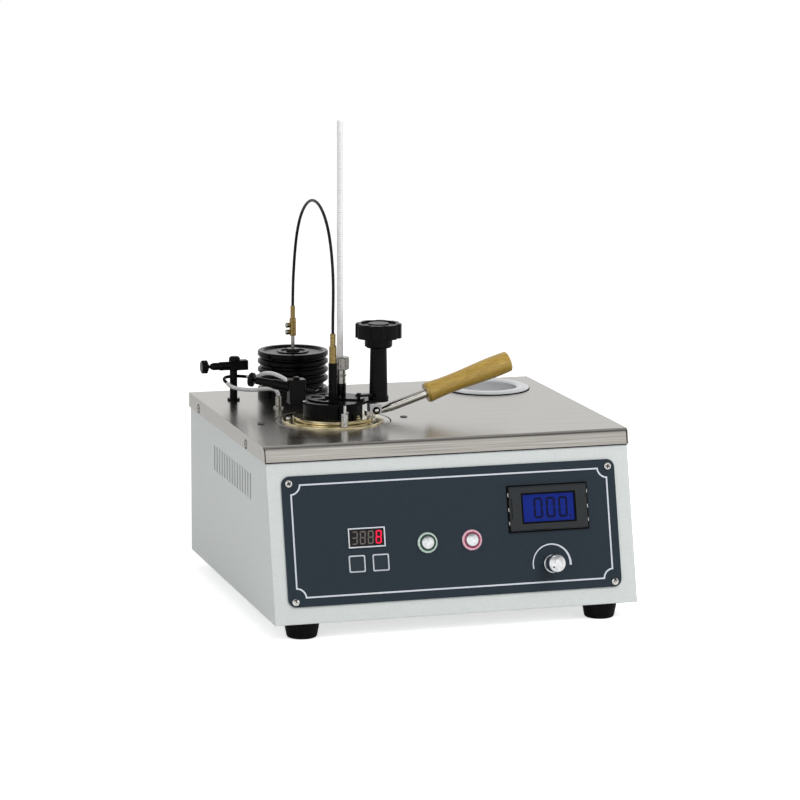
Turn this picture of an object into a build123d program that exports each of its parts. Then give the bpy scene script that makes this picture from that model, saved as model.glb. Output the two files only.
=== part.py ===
from build123d import *
import os
from math import asin, atan2, cos, degrees, hypot, pi, radians, sin, tan

os.makedirs("parts", exist_ok=True)

# Sizes in millimetres, angles in degrees. Everything is drawn with z = 0 on the top of the
# cover and the origin over the middle of the case, and moved onto the floor when it is written.

# Case
CASE_W = 366.0
CASE_D = 306.0
CASE_H = 164.5
FRONT_OUT = 40.0
SHEET = 1.5
COVER_LIP = 14.6
COVER_EDGE_R = 5.0
VENT_COUNT = 15
VENT_PITCH = 10.4
VENT_W = 4.0
VENT_TOP = 35.5
VENT_LENGTH = 26.0
VENT_MIDDLE_Y = -25.0
FOOT_H = 17.0
FOOT_TOP_R = 17.6
FOOT_R = 14.4
FOOT_ROUND = 2.4
FOOT_FRONT_X = 150.0
FOOT_FRONT_Y = -170.0
FOOT_REAR_X = 140.0
FOOT_REAR_Y = 120.0
FOOT_RECESS_R = 6.0
FOOT_RECESS = 7.0
SCREW_R = 3.6
SCREW_HEAD = 1.4
LIP_SCREW_Z = -9.5
LIP_SCREW_Y = (110.0, -86.0)

# Front panel, placed by x and by the distance down the sloping face
PANEL_W = 334.0
PANEL_H = 124.0
PANEL_X = -0.5
PANEL_TOP = 28.8
PANEL_T = 1.5
PANEL_CORNER = 8.0
PANEL_MARGIN = 14.0
PANEL_SCREW_INSET = 7.0
LED_W = 36.5
LED_H = 19.0
LED_X = -87.4
LED_DOWN = 90.7
LED_BODY = 12.0
KEY_SIDE = 13.2
KEY_DOWN = 115.2
KEY_X = (-98.1, -74.6)
KEY_PROUD = 1.0
KEY_STEM = 4.0
KEY_GAP = 0.3
KEY_TRAVEL = 0.5
BUTTON_X = (-27.6, 16.9)
BUTTON_DOWN = 99.2
BUTTON_RING_R = 10.0
BUTTON_CAP_R = 6.4
BUTTON_BODY_R = 8.0
BUTTON_BODY = 24.0
BUTTON_PROUD = 3.4
BUTTON_RING_H = 2.4
BUTTON_TRAVEL = 2.5
BUTTON_GAP = 0.3
METER_W = 79.0
METER_H = 43.0
METER_X = 95.8
METER_DOWN = 72.3
METER_PROUD = 3.6
METER_BODY = 26.0
METER_STEP = 2.5
METER_WINDOW_W = 55.2
METER_WINDOW_H = 29.6
LCD_RECESS = 1.4
LCD_T = 2.0
POT_X = 96.1
POT_DOWN = 126.8
POT_KNOB_R = 8.9
POT_KNOB_H = 17.0
POT_KNOB_GAP = 0.6
POT_SHAFT_R = 3.0
POT_BUSH_R = 4.5
POT_BODY_R = 12.0
POT_BODY_H = 12.0
RUN = 0.05

# Stove, set in the cover round the axis of the cup
STOVE_X = -82.5
STOVE_Y = -37.0
STOVE_HOLE_R = 57.6
TRIM_GAP = 1.0
STOVE_PLATE_R = 50.0
STOVE_PLATE_TOP = 1.8
STOVE_PLATE_T = 3.0
STOVE_BORE_R = 28.6
BATH_R = 44.0
BATH_DEPTH = 47.0
BATH_FLOOR = 3.0
BATH_FLANGE_R = 63.0
BATH_FLANGE_T = 3.0
BATH_EAR_R = 8.0
STOVE_SCREW_X = 72.7
HEATER_T = 3.0
HEATER_H = 30.0
POST_AF = 6.0
POST_H = 13.2
POST_Y = -46.3
POST_PIN_R = 1.4
POST_PIN_H = 7.6

# Cup with its handle
CUP_INNER_R = 25.4
CUP_WALL = 1.6
CUP_RIM = 18.0
CUP_DEPTH = 56.0
CUP_FLOOR = 2.6
CUP_FLANGE_R = 39.5
CUP_FLANGE_T = 3.7
CUP_LIFT = 75.0
HANDLE_TILT = 18.2
HANDLE_ROOT_X = 42.5
HANDLE_ROOT_Z = 5.4
ROD_R = 4.7
ROD_TIP_R = 2.2
ROD_TAPER = 18.0
ROD_LENGTH = 56.0
GRIP_LENGTH = 90.6
GRIP_END_R = 10.5
GRIP_WAIST_R = 9.2
GRIP_BODY_R = 10.3
GRIP_WAIST_AT = 20.0
GRIP_BODY_AT = 58.0
GRIP_EDGE = 1.2
BRACKET_W = 9.0
BRACKET_T = 2.5
BRACKET_H = 13.0
BRACKET_SCREW_R = 3.6

# Lid
LID_RIM_R = 29.3
LID_RIM_FIT = 0.4
LID_RIM_BOTTOM = 5.8
LID_R = 35.0
LID_UNDER = 19.0
LID_TOP = 21.5
LID_LIFT = 70.0
PORT_INNER_R = 11.5
PORT_OUTER_R = 21.5
PORT_ANGLE = 30.0
PORT_CENTRES = (130.3, 190.3, 250.3)
STIR_HOUSING_R = 4.3
STIR_HOUSING_TOP = 57.0
STIR_ROD_R = 2.0
STIR_LOW_R = 19.0
STIR_LOW_Z = -30.4
STIR_HIGH_R = 9.5
STIR_HIGH_Z = 2.0
BLADE_W = 8.0
BLADE_T = 1.2
BLADE_PITCH = 45.0
COUPLING_R = 3.65
COUPLING_H = 16.9
COUPLING_NECK_R = 2.7
COUPLING_NECK_H = 12.1
THERMO_X = 10.9
THERMO_Y = 13.0
THERMO_R = 3.15
THERMO_BOTTOM = -26.5
THERMO_TOP = 294.5
THERMO_LIFT = 90.0
SOCKET_R = 6.0
SOCKET_TOP = 34.6
SPIGOT_R = 4.5
NECK_R = 5.6
NECK_TOP = 48.6
NECK_RING_Z = 42.6
COLLAR_R = 9.15
COLLAR_TOP = 60.8
COLLAR_FLUTES = 24

# Shutter and its turning knob
KNOB_X = 44.0
KNOB_Y = -9.0
KNOB_BASE_R = 10.0
KNOB_BASE_TOP = 24.4
KNOB_POST_R = 9.0
KNOB_POST_TOP_R = 8.15
KNOB_POST_BORE = 6.0
KNOB_POST_TOP = 72.6
KNOB_HEAD_R = 13.65
KNOB_HEAD_TOP = 82.0
KNOB_R = 22.8
KNOB_TOP = 96.4
KNOB_LOBES = 8
KNOB_SHAFT_R = 4.0
KNOB_TURN = 38.0
LEVER_LENGTH = 21.0
LEVER_W = 7.0
LEVER_T = 2.2
LEVER_PIN_R = 1.5
SHUTTER_GAP = 0.3
SHUTTER_T = 1.2
SHUTTER_R = 25.5
SHUTTER_TURN = 30.5
SHUTTER_HUB_R = 8.0
SHUTTER_HUB_H = 3.2
SHUTTER_ARM_R = 31.0
SHUTTER_ARM_W = 10.0
PIN_GAP = 0.45

# Igniter, with its gas valve
BLOCK_X = -37.0
BLOCK_W = 16.3
BLOCK_DEPTH = 13.0
BLOCK_TOP = 43.0
IGNITER_Z = 33.5
IGNITER_SWING = 35.0
IGNITER_TILT = 7.5
IGNITER_REACH = 20.0
IGNITER_ARM = 14.0
IGNITER_NOZZLE = 3.5
IGNITER_R = 1.8
IGNITER_TIP_R = 1.4
IGNITER_DIP = 38.0
BARREL_R = 5.0
BARREL_END_R = 3.6
BARREL_LENGTH = 42.0
BARREL_STEM_R = 1.6
VALVE_KNOB_R = 7.0
VALVE_KNOB_T = 5.5
VALVE_KNOB_GAP = 2.0
SPIGOT_ALONG = 12.0
SPIGOT_OUT = 5.0

# Stirrer motor and flexible shaft
MOTOR_X = -82.5
MOTOR_Y = 115.5
MOTOR_R = 36.0
MOTOR_WAIST_R = 31.5
MOTOR_TOP = 46.0
MOTOR_CAP_T = 5.6
MOTOR_RIBS = (17.6, 26.3, 35.0)
MOTOR_RIB_T = 6.6
SPINDLE_R = 1.9
SPINDLE_TOP = 72.0
DRIVE_R = 3.4
DRIVE_BOTTOM = 60.8
DRIVE_TOP = 78.7
DRIVE_NECK_R = 2.4
DRIVE_NECK_TOP = 91.4
DRIVE_FIT = 0.1
SET_SCREW_R = 2.5
SET_SCREW_Z = (64.5, 71.5)
SHAFT_R = 1.5

# Gas post, nipple, pipe and hoses
GAS_X = -149.2
GAS_Y = 98.5
GAS_POST_R = 3.85
GAS_POST_TOP = 30.8
GAS_BLOCK_TOP = 40.9
GAS_BLOCK_LEFT = 4.0
GAS_BLOCK_RIGHT = 14.5
GAS_BLOCK_DEPTH = 9.0
GAS_DOME_R = 5.7
GAS_DOME_H = 4.1
GAS_VALVE_Z = 35.2
GAS_BARREL_R = 4.4
GAS_BARREL_LENGTH = 20.0
GAS_STEM_R = 1.6
GAS_KNOB_R = 6.7
GAS_KNOB_T = 7.4
GAS_KNOB_GAP = 2.2
TUBE_R = 1.6
TUBE_TURN_R = 9.0
TUBE_Z = 23.0
NIPPLE_X = -116.9
NIPPLE_Y = 42.7
NIPPLE_R = 3.0
NIPPLE_TOP = 12.5
HOSE_R = 2.0
PIPE_R = 2.5
INLET_X = -120.0
INLET_Z = -110.0
INLET_R = 3.5
INLET_LENGTH = 20.0
INLET_HEX_AF = 12.0
INLET_HEX_T = 4.0

# Storage well for the cup
WELL_X = 120.0
WELL_Y = 97.0
WELL_FLANGE_R = 44.0
WELL_FLANGE_T = 3.0
WELL_R = 31.0
WELL_BEVEL = 3.0
WELL_WALL = 1.5
WELL_DEPTH = 52.0

# Rear fittings and what stands inside, placed from the side walls and the floor
POWER_INSET = 78.0
POWER_Z = -120.0
POWER_W = 48.0
POWER_H = 27.0
POWER_T = 2.5
POWER_BODY_W = 26.0
POWER_BODY_H = 21.0
POWER_BODY = 12.0
SOCKET_W = 24.0
SOCKET_H = 16.0
SOCKET_CORNER = 3.0
SOCKET_DEPTH = 9.0
BLADE_PIN_W = 2.0
BLADE_PIN_H = 4.0
BLADE_PIN_STEP = 7.0
FUSE_STEP = 50.0
FUSE_R = 7.0
FUSE_CAP = 9.0
FUSE_BODY = 20.0
FUSE_BODY_R = 6.0
BOARD_W = 150.0
BOARD_D = 90.0
BOARD_T = 1.6
BOARD_INSET = 123.0
BOARD_Y = 40.0
BOARD_STAND = 10.0
BOARD_LEG_R = 3.0
BOARD_LEG_INSET = 6.0
RELAY_W = 30.0
RELAY_D = 24.0
RELAY_H = 20.0
CHIP_W = 22.0
CHIP_H = 9.0
SINK_W = 26.0
SINK_D = 30.0
SINK_H = 16.0
CORE_W = 70.0
CORE_D = 30.0
CORE_H = 60.0
CORE_INSET = 78.0
CORE_Y = -20.0
COIL_W = 35.0
COIL_D = 58.0
COIL_INSET = 10.0
COIL_CORNER = 6.0

SLOPE = degrees(atan2(FRONT_OUT, CASE_H))
POWER_X = CASE_W / 2 - POWER_INSET
FUSE_X = POWER_X - FUSE_STEP
BOARD_X = BOARD_INSET - CASE_W / 2
CORE_X = CASE_W / 2 - CORE_INSET
FACE = Plane(origin=(0, -CASE_D / 2, 0), x_dir=(1, 0, 0),
             z_dir=(0, -cos(radians(SLOPE)), sin(radians(SLOPE))))
STOVE = Pos(STOVE_X, STOVE_Y, 0)
BEARING = (STOVE_X + BLOCK_X, STOVE_Y, IGNITER_Z)
IGNITER_X_DIR = (sin(radians(IGNITER_SWING)), cos(radians(IGNITER_SWING)), 0)
IGNITER_AXIS = (cos(radians(IGNITER_TILT)) * cos(radians(IGNITER_SWING)),
                -cos(radians(IGNITER_TILT)) * sin(radians(IGNITER_SWING)),
                -sin(radians(IGNITER_TILT)))
IGNITER = Plane(origin=BEARING, x_dir=IGNITER_X_DIR, z_dir=IGNITER_AXIS)
PANEL_BACK = -SHEET
SHUTTER_TOP = LID_TOP + SHUTTER_GAP + SHUTTER_T
KNOB_DISTANCE = hypot(KNOB_X, KNOB_Y)
KNOB_BEARING = degrees(atan2(-KNOB_Y, -KNOB_X)) % 360
KNOB_REST = KNOB_BEARING + KNOB_TURN / 2
LEVER_Z = KNOB_BASE_TOP + 0.2
PIN_AT_REST = (KNOB_X + LEVER_LENGTH * cos(radians(KNOB_REST)),
               KNOB_Y + LEVER_LENGTH * sin(radians(KNOB_REST)))
ARM_ANGLE = degrees(atan2(PIN_AT_REST[1], PIN_AT_REST[0]))
PIN_FAR = hypot(*PIN_AT_REST)
PIN_NEAR = KNOB_DISTANCE - LEVER_LENGTH
POT_FRONT = PANEL_T + PANEL_BACK + POT_KNOB_GAP + POT_KNOB_H
FRONT_MOST = (-CASE_D / 2 - POT_DOWN * sin(radians(SLOPE)) - POT_FRONT * cos(radians(SLOPE))
              - POT_KNOB_R * sin(radians(SLOPE)))
REAR_MOST = CASE_D / 2 - SHEET + INLET_HEX_T + INLET_LENGTH
PLACE = Pos(0, -(FRONT_MOST + REAR_MOST) / 2, CASE_H + FOOT_H)

nodes = {}


def disc(radius, low, high, x=0.0, y=0.0):
    return Pos(x, y, (low + high) / 2) * Cylinder(radius, high - low)


def ring(outer, inner, low, high, x=0.0, y=0.0):
    return disc(outer, low, high, x, y) - disc(inner, low - 1, high + 1, x, y)


def slab(x0, x1, y0, y1, z0, z1):
    return Pos((x0 + x1) / 2, (y0 + y1) / 2, (z0 + z1) / 2) * Box(x1 - x0, y1 - y0, z1 - z0)


def turned(*points):
    return revolve(make_face(Plane.XZ * Polyline(*points, close=True)), Axis.Z)


def on_face(x, down, out=0.0):
    return FACE * Pos(x, -down, out)


def plate_on_face(w, h, corner, x, down, low, high):
    outline = RectangleRounded(w, h, corner) if corner else Rectangle(w, h)
    return on_face(x, down, low) * extrude(outline, high - low)


def hole_on_face(radius, x, down, low, high):
    return on_face(x, down, (low + high) / 2) * Cylinder(radius, high - low)


def wedge(inner, outer, start, stop, low, high):
    reach = outer * 1.6
    middle = (start + stop) / 2
    points = [(0, 0)]
    for angle in (start, middle, stop):
        points.append((reach * cos(radians(angle)), reach * sin(radians(angle))))
    block = Pos(0, 0, low) * extrude(make_face(Polyline(*points, close=True)), high - low)
    return block & ring(outer, inner, low, high)


def hose(name, points, radius):
    corners = []
    for before, here, after in zip(points, points[1:], points[2:]):
        first = Vector(*here) - Vector(*before)
        second = Vector(*after) - Vector(*here)
        turn = first.get_angle(second)
        corners.append(0.45 * min(first.length, second.length) / tan(radians(turn / 2)))
    print(name, "radii", [round(corner) for corner in corners])
    path = FilletPolyline(*points, radius=corners)
    start = Plane(origin=path @ 0, z_dir=path % 0)
    tube = sweep(start * Circle(radius), path)
    print(name, "volume", round(tube.volume), "of", round(pi * radius ** 2 * path.length),
          "length", round(path.length))
    return tube


def case_block(inset, top, bottom, lip_at=0.0):
    """Solid between the side walls, inset from the outer faces, from top down to bottom."""
    back = CASE_D / 2 - inset
    lead = inset / cos(radians(SLOPE))
    fall = tan(radians(SLOPE))
    front_top = -CASE_D / 2 + lead + top * fall
    front_bottom = -CASE_D / 2 + lead + bottom * fall
    profile = Polyline((back, top), (front_top, top), (front_bottom, bottom), (back, bottom),
                       close=True)
    half = CASE_W / 2 - inset
    return Pos(-half, 0, 0) * extrude(make_face(Plane.YZ * profile), 2 * half)


# Case: a folded sheet shell with an open top, the cover dropped over it
cover_block = case_block(0, 0, -COVER_LIP)
front_edge = cover_block.edges().filter_by(Axis.X).sort_by(Axis.Z)[-2:].sort_by(Axis.Y)[0]
cover_block = fillet(front_edge, COVER_EDGE_R)
cover = cover_block - case_block(SHEET, -SHEET, -COVER_LIP - 1)
cover -= disc(STOVE_HOLE_R, -2 * SHEET, 1, STOVE_X, STOVE_Y)
cover -= disc(WELL_R + WELL_WALL, -2 * SHEET, 1, WELL_X, WELL_Y)
cover -= disc(PIPE_R, -2 * SHEET, 1, NIPPLE_X, NIPPLE_Y)
for side in (-1, 1):
    cover -= disc(SCREW_R / 2, -2 * SHEET, 1, STOVE_X + side * STOVE_SCREW_X, STOVE_Y)
shell = case_block(SHEET, -SHEET, -CASE_H) - case_block(2 * SHEET, 0, -CASE_H + SHEET)
vents = Part()
for step in range(VENT_COUNT):
    y = VENT_MIDDLE_Y + (step - (VENT_COUNT - 1) / 2) * VENT_PITCH
    slot = Plane.YZ * SlotOverall(VENT_LENGTH, VENT_W, rotation=90)
    vents += Pos(-CASE_W, y, -VENT_TOP - VENT_LENGTH / 2) * extrude(slot, 2 * CASE_W)
shell -= vents
panel_down = PANEL_TOP + PANEL_H / 2
shell -= plate_on_face(PANEL_W - 2 * PANEL_MARGIN, PANEL_H - 2 * PANEL_MARGIN, 0,
                       PANEL_X, panel_down, -4 * SHEET, SHEET)
rear_wall = CASE_D / 2 - SHEET
rear = Plane(origin=(0, rear_wall, 0), x_dir=(-1, 0, 0), z_dir=(0, 1, 0))
shell -= rear * Pos(-INLET_X, INLET_Z, 0) * Cylinder(PIPE_R + 1, 6 * SHEET)
shell -= rear * Pos(-FUSE_X, POWER_Z, 0) * Cylinder(FUSE_BODY_R + KEY_GAP, 6 * SHEET)
shell -= rear * Pos(-POWER_X, POWER_Z, 0) * Box(POWER_BODY_W + 1, POWER_BODY_H + 1, 6 * SHEET)
nodes["case_shell"] = shell
nodes["top_cover"] = cover

panel = plate_on_face(PANEL_W, PANEL_H, PANEL_CORNER, PANEL_X, panel_down, PANEL_BACK,
                      PANEL_BACK + PANEL_T)
for x in KEY_X:
    panel -= plate_on_face(KEY_SIDE + 2 * KEY_GAP, KEY_SIDE + 2 * KEY_GAP, 1, x, KEY_DOWN, -3, 1)
for x in BUTTON_X:
    panel -= hole_on_face(BUTTON_BODY_R, x, BUTTON_DOWN, -3, 1)
panel -= plate_on_face(LED_W - 3, LED_H - 3, 0, LED_X, LED_DOWN, -3, 1)
panel -= plate_on_face(METER_W - 5, METER_H - 5, 0, METER_X, METER_DOWN, -3, 1)
panel -= hole_on_face(POT_BUSH_R, POT_X, POT_DOWN, -3, 1)
panel_out = PANEL_BACK + PANEL_T
nodes["front_panel"] = panel

screws = Part()
for x in (-1, 1):
    for down in (PANEL_TOP + PANEL_SCREW_INSET, PANEL_TOP + PANEL_H - PANEL_SCREW_INSET + 2):
        at = on_face(PANEL_X + x * (PANEL_W / 2 - PANEL_SCREW_INSET), down, panel_out)
        head = Cylinder(SCREW_R, SCREW_HEAD, align=(Align.CENTER, Align.CENTER, Align.MIN))
        head = fillet(head.edges().sort_by(Axis.Z)[-1], SCREW_HEAD * 0.6)
        cross = Pos(0, 0, SCREW_HEAD) * (Box(SCREW_R, 0.8, 1) + Box(0.8, SCREW_R, 1))
        screws += at * (head - cross)
    for y in LIP_SCREW_Y:
        head = Cylinder(SCREW_R, SCREW_HEAD, align=(Align.CENTER, Align.CENTER, Align.MIN))
        head = fillet(head.edges().sort_by(Axis.Z)[-1], SCREW_HEAD * 0.6)
        cross = Pos(0, 0, SCREW_HEAD) * (Box(SCREW_R, 0.8, 1) + Box(0.8, SCREW_R, 1))
        seat = Pos(x * CASE_W / 2 - x * SCREW_HEAD, y, LIP_SCREW_Z) * Rot(0, x * 90, 0)
        screws += seat * (head - cross)
nodes["case_screws"] = screws
for x in (-1, 1):
    for y in LIP_SCREW_Y:
        hole = Pos(x * CASE_W / 2, y, LIP_SCREW_Z) * Rot(0, 90, 0) * Cylinder(SCREW_R, 2 * SHEET)
        nodes["top_cover"] -= hole

feet = Part()
for x, y in ((FOOT_FRONT_X, FOOT_FRONT_Y), (FOOT_REAR_X, FOOT_REAR_Y)):
    for side in (-1, 1):
        foot = Cone(FOOT_R, FOOT_TOP_R, FOOT_H)
        foot = fillet(foot.edges().sort_by(Axis.Z)[0], FOOT_ROUND)
        foot -= Pos(0, 0, -FOOT_H / 2) * Cylinder(FOOT_RECESS_R, FOOT_RECESS * 2)
        feet += Pos(side * x, y, -CASE_H - FOOT_H / 2) * foot
nodes["feet"] = feet

# Things on the front panel
led = plate_on_face(LED_W, LED_H, 0.8, LED_X, LED_DOWN, panel_out, panel_out + 1)
led += plate_on_face(LED_W - 3, LED_H - 3, 0, LED_X, LED_DOWN, panel_out - LED_BODY, panel_out)
led -= plate_on_face(LED_W - 2.4, LED_H - 2.4, 0, LED_X, LED_DOWN, panel_out + 0.4, panel_out + 2)
nodes["led_display"] = led
for name, x in zip(("key_left", "key_right"), KEY_X):
    cap = plate_on_face(KEY_SIDE, KEY_SIDE, 0.8, x, KEY_DOWN, panel_out - KEY_STEM, panel_out + KEY_PROUD)
    nodes[name] = cap
for side, x in zip(("left", "right"), BUTTON_X):
    collar = hole_on_face(BUTTON_RING_R, x, BUTTON_DOWN, panel_out, panel_out + BUTTON_RING_H)
    collar = chamfer(collar.edges().sort_by(Axis.Y)[0], 0.8)
    body = hole_on_face(BUTTON_BODY_R, x, BUTTON_DOWN, panel_out - BUTTON_BODY, panel_out + 0.1)
    well = hole_on_face(BUTTON_CAP_R + BUTTON_GAP, x, BUTTON_DOWN, panel_out - BUTTON_BODY + 4, panel_out + 5)
    nodes["button_ring_" + side] = collar + body - well
    cap = hole_on_face(BUTTON_CAP_R, x, BUTTON_DOWN, panel_out - 6, panel_out + BUTTON_PROUD)
    cap = fillet(cap.edges().sort_by(Axis.Y)[0], 1.2)
    nodes["button_" + side] = cap
bezel = plate_on_face(METER_W, METER_H, 1.5, METER_X, METER_DOWN, panel_out, panel_out + METER_PROUD)
bezel = chamfer(bezel.faces().sort_by(Axis.Y)[0].edges(), METER_STEP * 0.5)
bezel += plate_on_face(METER_W - 5, METER_H - 5, 0, METER_X, METER_DOWN, panel_out - METER_BODY, panel_out)
bezel -= plate_on_face(METER_WINDOW_W, METER_WINDOW_H, 0, METER_X, METER_DOWN,
                       panel_out + METER_PROUD - LCD_RECESS - LCD_T, panel_out + METER_PROUD + 1)
for side in (-1, 1):
    bezel -= plate_on_face(2 * METER_STEP, METER_H * 0.45, 0, METER_X + side * METER_W / 2, METER_DOWN,
                           panel_out + METER_PROUD - 1.6, panel_out + METER_PROUD + 1)
nodes["meter_bezel"] = bezel
nodes["meter_lcd"] = plate_on_face(METER_WINDOW_W, METER_WINDOW_H, 0, METER_X, METER_DOWN,
                                   panel_out + METER_PROUD - LCD_RECESS - LCD_T,
                                   panel_out + METER_PROUD - LCD_RECESS)
pot = hole_on_face(POT_BUSH_R, POT_X, POT_DOWN, panel_out - 8, panel_out + 0.4)
pot += hole_on_face(POT_BODY_R, POT_X, POT_DOWN, panel_out - 8 - POT_BODY_H, panel_out - 6)
pot -= hole_on_face(POT_SHAFT_R + RUN, POT_X, POT_DOWN, panel_out - 14, panel_out + 2)
nodes["potentiometer"] = pot
knob_foot = panel_out + POT_KNOB_GAP
knob = Cone(POT_KNOB_R, POT_KNOB_R - 0.5, POT_KNOB_H, align=(Align.CENTER, Align.CENTER, Align.MIN))
knob = fillet(knob.edges().sort_by(Axis.Z)[-1], 1.0)
for step in range(20):
    groove = Cylinder(0.9, POT_KNOB_H * 1.3, align=(Align.CENTER, Align.CENTER, Align.MIN))
    flute = Pos(POT_KNOB_R + 0.5, 0, 0) * groove
    knob -= Rot(0, 0, step * 18) * flute
knob -= Pos(0, POT_KNOB_R * 0.62, POT_KNOB_H) * Cylinder(0.9, 0.8)
stem = hole_on_face(POT_SHAFT_R, POT_X, POT_DOWN, panel_out - 13, knob_foot + 1)
nodes["pot_knob"] = on_face(POT_X, POT_DOWN, knob_foot) * knob + stem

# Rear wall
inlet = rear * Pos(-POWER_X, POWER_Z, 0) * extrude(RectangleRounded(POWER_W, POWER_H, 4), POWER_T)
inlet_body = extrude(Rectangle(POWER_BODY_W, POWER_BODY_H), POWER_BODY)
inlet += rear * Pos(-POWER_X, POWER_Z, -POWER_BODY) * inlet_body
socket = RectangleRounded(SOCKET_W, SOCKET_H, SOCKET_CORNER)
inlet -= rear * Pos(-POWER_X, POWER_Z, -SOCKET_DEPTH) * extrude(socket, SOCKET_DEPTH + 2 * POWER_T)
for step, rise in ((-1, -1), (0, 1), (1, -1)):
    blade = extrude(Rectangle(BLADE_PIN_W, BLADE_PIN_H), SOCKET_DEPTH)
    spot = Pos(-POWER_X + step * BLADE_PIN_STEP, POWER_Z + rise * BLADE_PIN_W, -SOCKET_DEPTH - 0.5)
    inlet += rear * spot * blade
nodes["power_inlet"] = inlet
fuse = rear * Pos(-FUSE_X, POWER_Z, 0) * extrude(Circle(FUSE_R), FUSE_CAP)
fuse = fillet(fuse.edges().sort_by(Axis.Y)[-1], 1.5)
fuse += rear * Pos(-FUSE_X, POWER_Z, -FUSE_BODY) * extrude(Circle(FUSE_BODY_R), FUSE_BODY)
fuse -= rear * Pos(-FUSE_X, POWER_Z, FUSE_CAP) * Box(8, 1.4, 2)
nodes["fuse_holder"] = fuse
inlet_at = rear * Pos(-INLET_X, INLET_Z, 0)
gas_inlet = inlet_at * extrude(RegularPolygon(INLET_HEX_AF / 2, 6, major_radius=False), INLET_HEX_T)
gas_inlet += inlet_at * Pos(0, 0, INLET_HEX_T) * extrude(Circle(INLET_R), INLET_LENGTH)
gas_inlet = chamfer(gas_inlet.edges().sort_by(Axis.Y)[-1], 0.8)
gas_inlet -= inlet_at * Pos(0, 0, 2) * extrude(Circle(1.6), INLET_LENGTH + INLET_HEX_T)
nodes["gas_inlet"] = gas_inlet
pipe_points = [(INLET_X, rear_wall, INLET_Z), (INLET_X, rear_wall - 40, INLET_Z),
               (NIPPLE_X - 2, NIPPLE_Y + 12, INLET_Z + 8), (NIPPLE_X, NIPPLE_Y, -70),
               (NIPPLE_X, NIPPLE_Y, -SHEET)]
nodes["gas_pipe"] = hose("gas_pipe", pipe_points, PIPE_R)

# Inside the case
floor = -CASE_H + SHEET
board = slab(BOARD_X - BOARD_W / 2, BOARD_X + BOARD_W / 2, BOARD_Y - BOARD_D / 2, BOARD_Y + BOARD_D / 2,
             floor + BOARD_STAND, floor + BOARD_STAND + BOARD_T)
for x in (-1, 1):
    for y in (-1, 1):
        board += disc(BOARD_LEG_R, floor, floor + BOARD_STAND, BOARD_X + x * (BOARD_W / 2 - BOARD_LEG_INSET),
                      BOARD_Y + y * (BOARD_D / 2 - BOARD_LEG_INSET))
deck = floor + BOARD_STAND + BOARD_T
for x, y, w, d, h in ((-BOARD_W / 4, BOARD_D / 9, RELAY_W, RELAY_D, RELAY_H),
                      (0, -BOARD_D / 6, CHIP_W, CHIP_W, CHIP_H),
                      (BOARD_W / 3.4, BOARD_D / 8, SINK_W, SINK_D, SINK_H)):
    board += slab(BOARD_X + x - w / 2, BOARD_X + x + w / 2, BOARD_Y + y - d / 2, BOARD_Y + y + d / 2,
                  deck, deck + h)
nodes["control_board"] = board
core = slab(CORE_X - CORE_W / 2, CORE_X + CORE_W / 2, CORE_Y - CORE_D / 2, CORE_Y + CORE_D / 2, floor,
            floor + CORE_H)
coil = slab(CORE_X - COIL_W / 2, CORE_X + COIL_W / 2, CORE_Y - COIL_D / 2, CORE_Y + COIL_D / 2,
            floor + COIL_INSET, floor + CORE_H - COIL_INSET)
nodes["transformer"] = core + fillet(coil.edges().filter_by(Axis.Z), COIL_CORNER)

# Stove
plate_low = STOVE_PLATE_TOP - STOVE_PLATE_T
bath = turned((0, -BATH_DEPTH), (BATH_R, -BATH_DEPTH), (BATH_R, -SHEET - BATH_FLANGE_T),
              (BATH_FLANGE_R, -SHEET - BATH_FLANGE_T), (BATH_FLANGE_R, -SHEET), (STOVE_PLATE_R, -SHEET),
              (STOVE_PLATE_R, plate_low), (STOVE_BORE_R, plate_low),
              (STOVE_BORE_R, -BATH_DEPTH + BATH_FLOOR), (0, -BATH_DEPTH + BATH_FLOOR))
for side in (-1, 1):
    ear = disc(BATH_EAR_R, -SHEET - BATH_FLANGE_T, -SHEET, side * STOVE_SCREW_X, 0)
    ear += slab(min(side * BATH_R, side * STOVE_SCREW_X), max(side * BATH_R, side * STOVE_SCREW_X),
                -BATH_EAR_R, BATH_EAR_R, -SHEET - BATH_FLANGE_T, -SHEET) - disc(BATH_R, -9, 9)
    bath += ear - disc(SCREW_R / 2, -9, 9, side * STOVE_SCREW_X, 0)
nodes["air_bath"] = STOVE * bath
trim = ring(STOVE_HOLE_R - TRIM_GAP, STOVE_PLATE_R + RUN, -SHEET, 0)
trim_edge = trim.edges().sort_by(SortBy.LENGTH)[-2:].sort_by(Axis.Z)[-1]
nodes["stove_trim"] = STOVE * chamfer(trim_edge, TRIM_GAP / 2)
stove_plate = ring(STOVE_PLATE_R, STOVE_BORE_R, plate_low, STOVE_PLATE_TOP)
stove_plate = fillet(stove_plate.edges().sort_by(SortBy.LENGTH)[-2:].sort_by(Axis.Z)[-1], 0.9)
nodes["stove_plate"] = STOVE * stove_plate
nodes["heater_band"] = STOVE * ring(BATH_R + HEATER_T, BATH_R, -BATH_DEPTH + 6, -BATH_DEPTH + 6 + HEATER_H)
stove_screws = Part()
for side in (-1, 1):
    screw = disc(SCREW_R, 0, 0.7) + disc(SCREW_R / 2, -SHEET - BATH_FLANGE_T, 0)
    screw -= Pos(0, 0, 0.7) * Box(2 * SCREW_R + 1, 1.0, 0.9)
    stove_screws += STOVE * Pos(side * STOVE_SCREW_X, 0, 0) * Rot(0, 0, side * 20) * screw
nodes["stove_screws"] = stove_screws
post = Pos(0, 0, STOVE_PLATE_TOP) * extrude(RegularPolygon(POST_AF / 2, 6, major_radius=False), POST_H)
post = chamfer(post.edges().group_by(Axis.Z)[-1], 0.5)
post += disc(POST_PIN_R, STOVE_PLATE_TOP + POST_H - 1, STOVE_PLATE_TOP + POST_H + POST_PIN_H)
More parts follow.
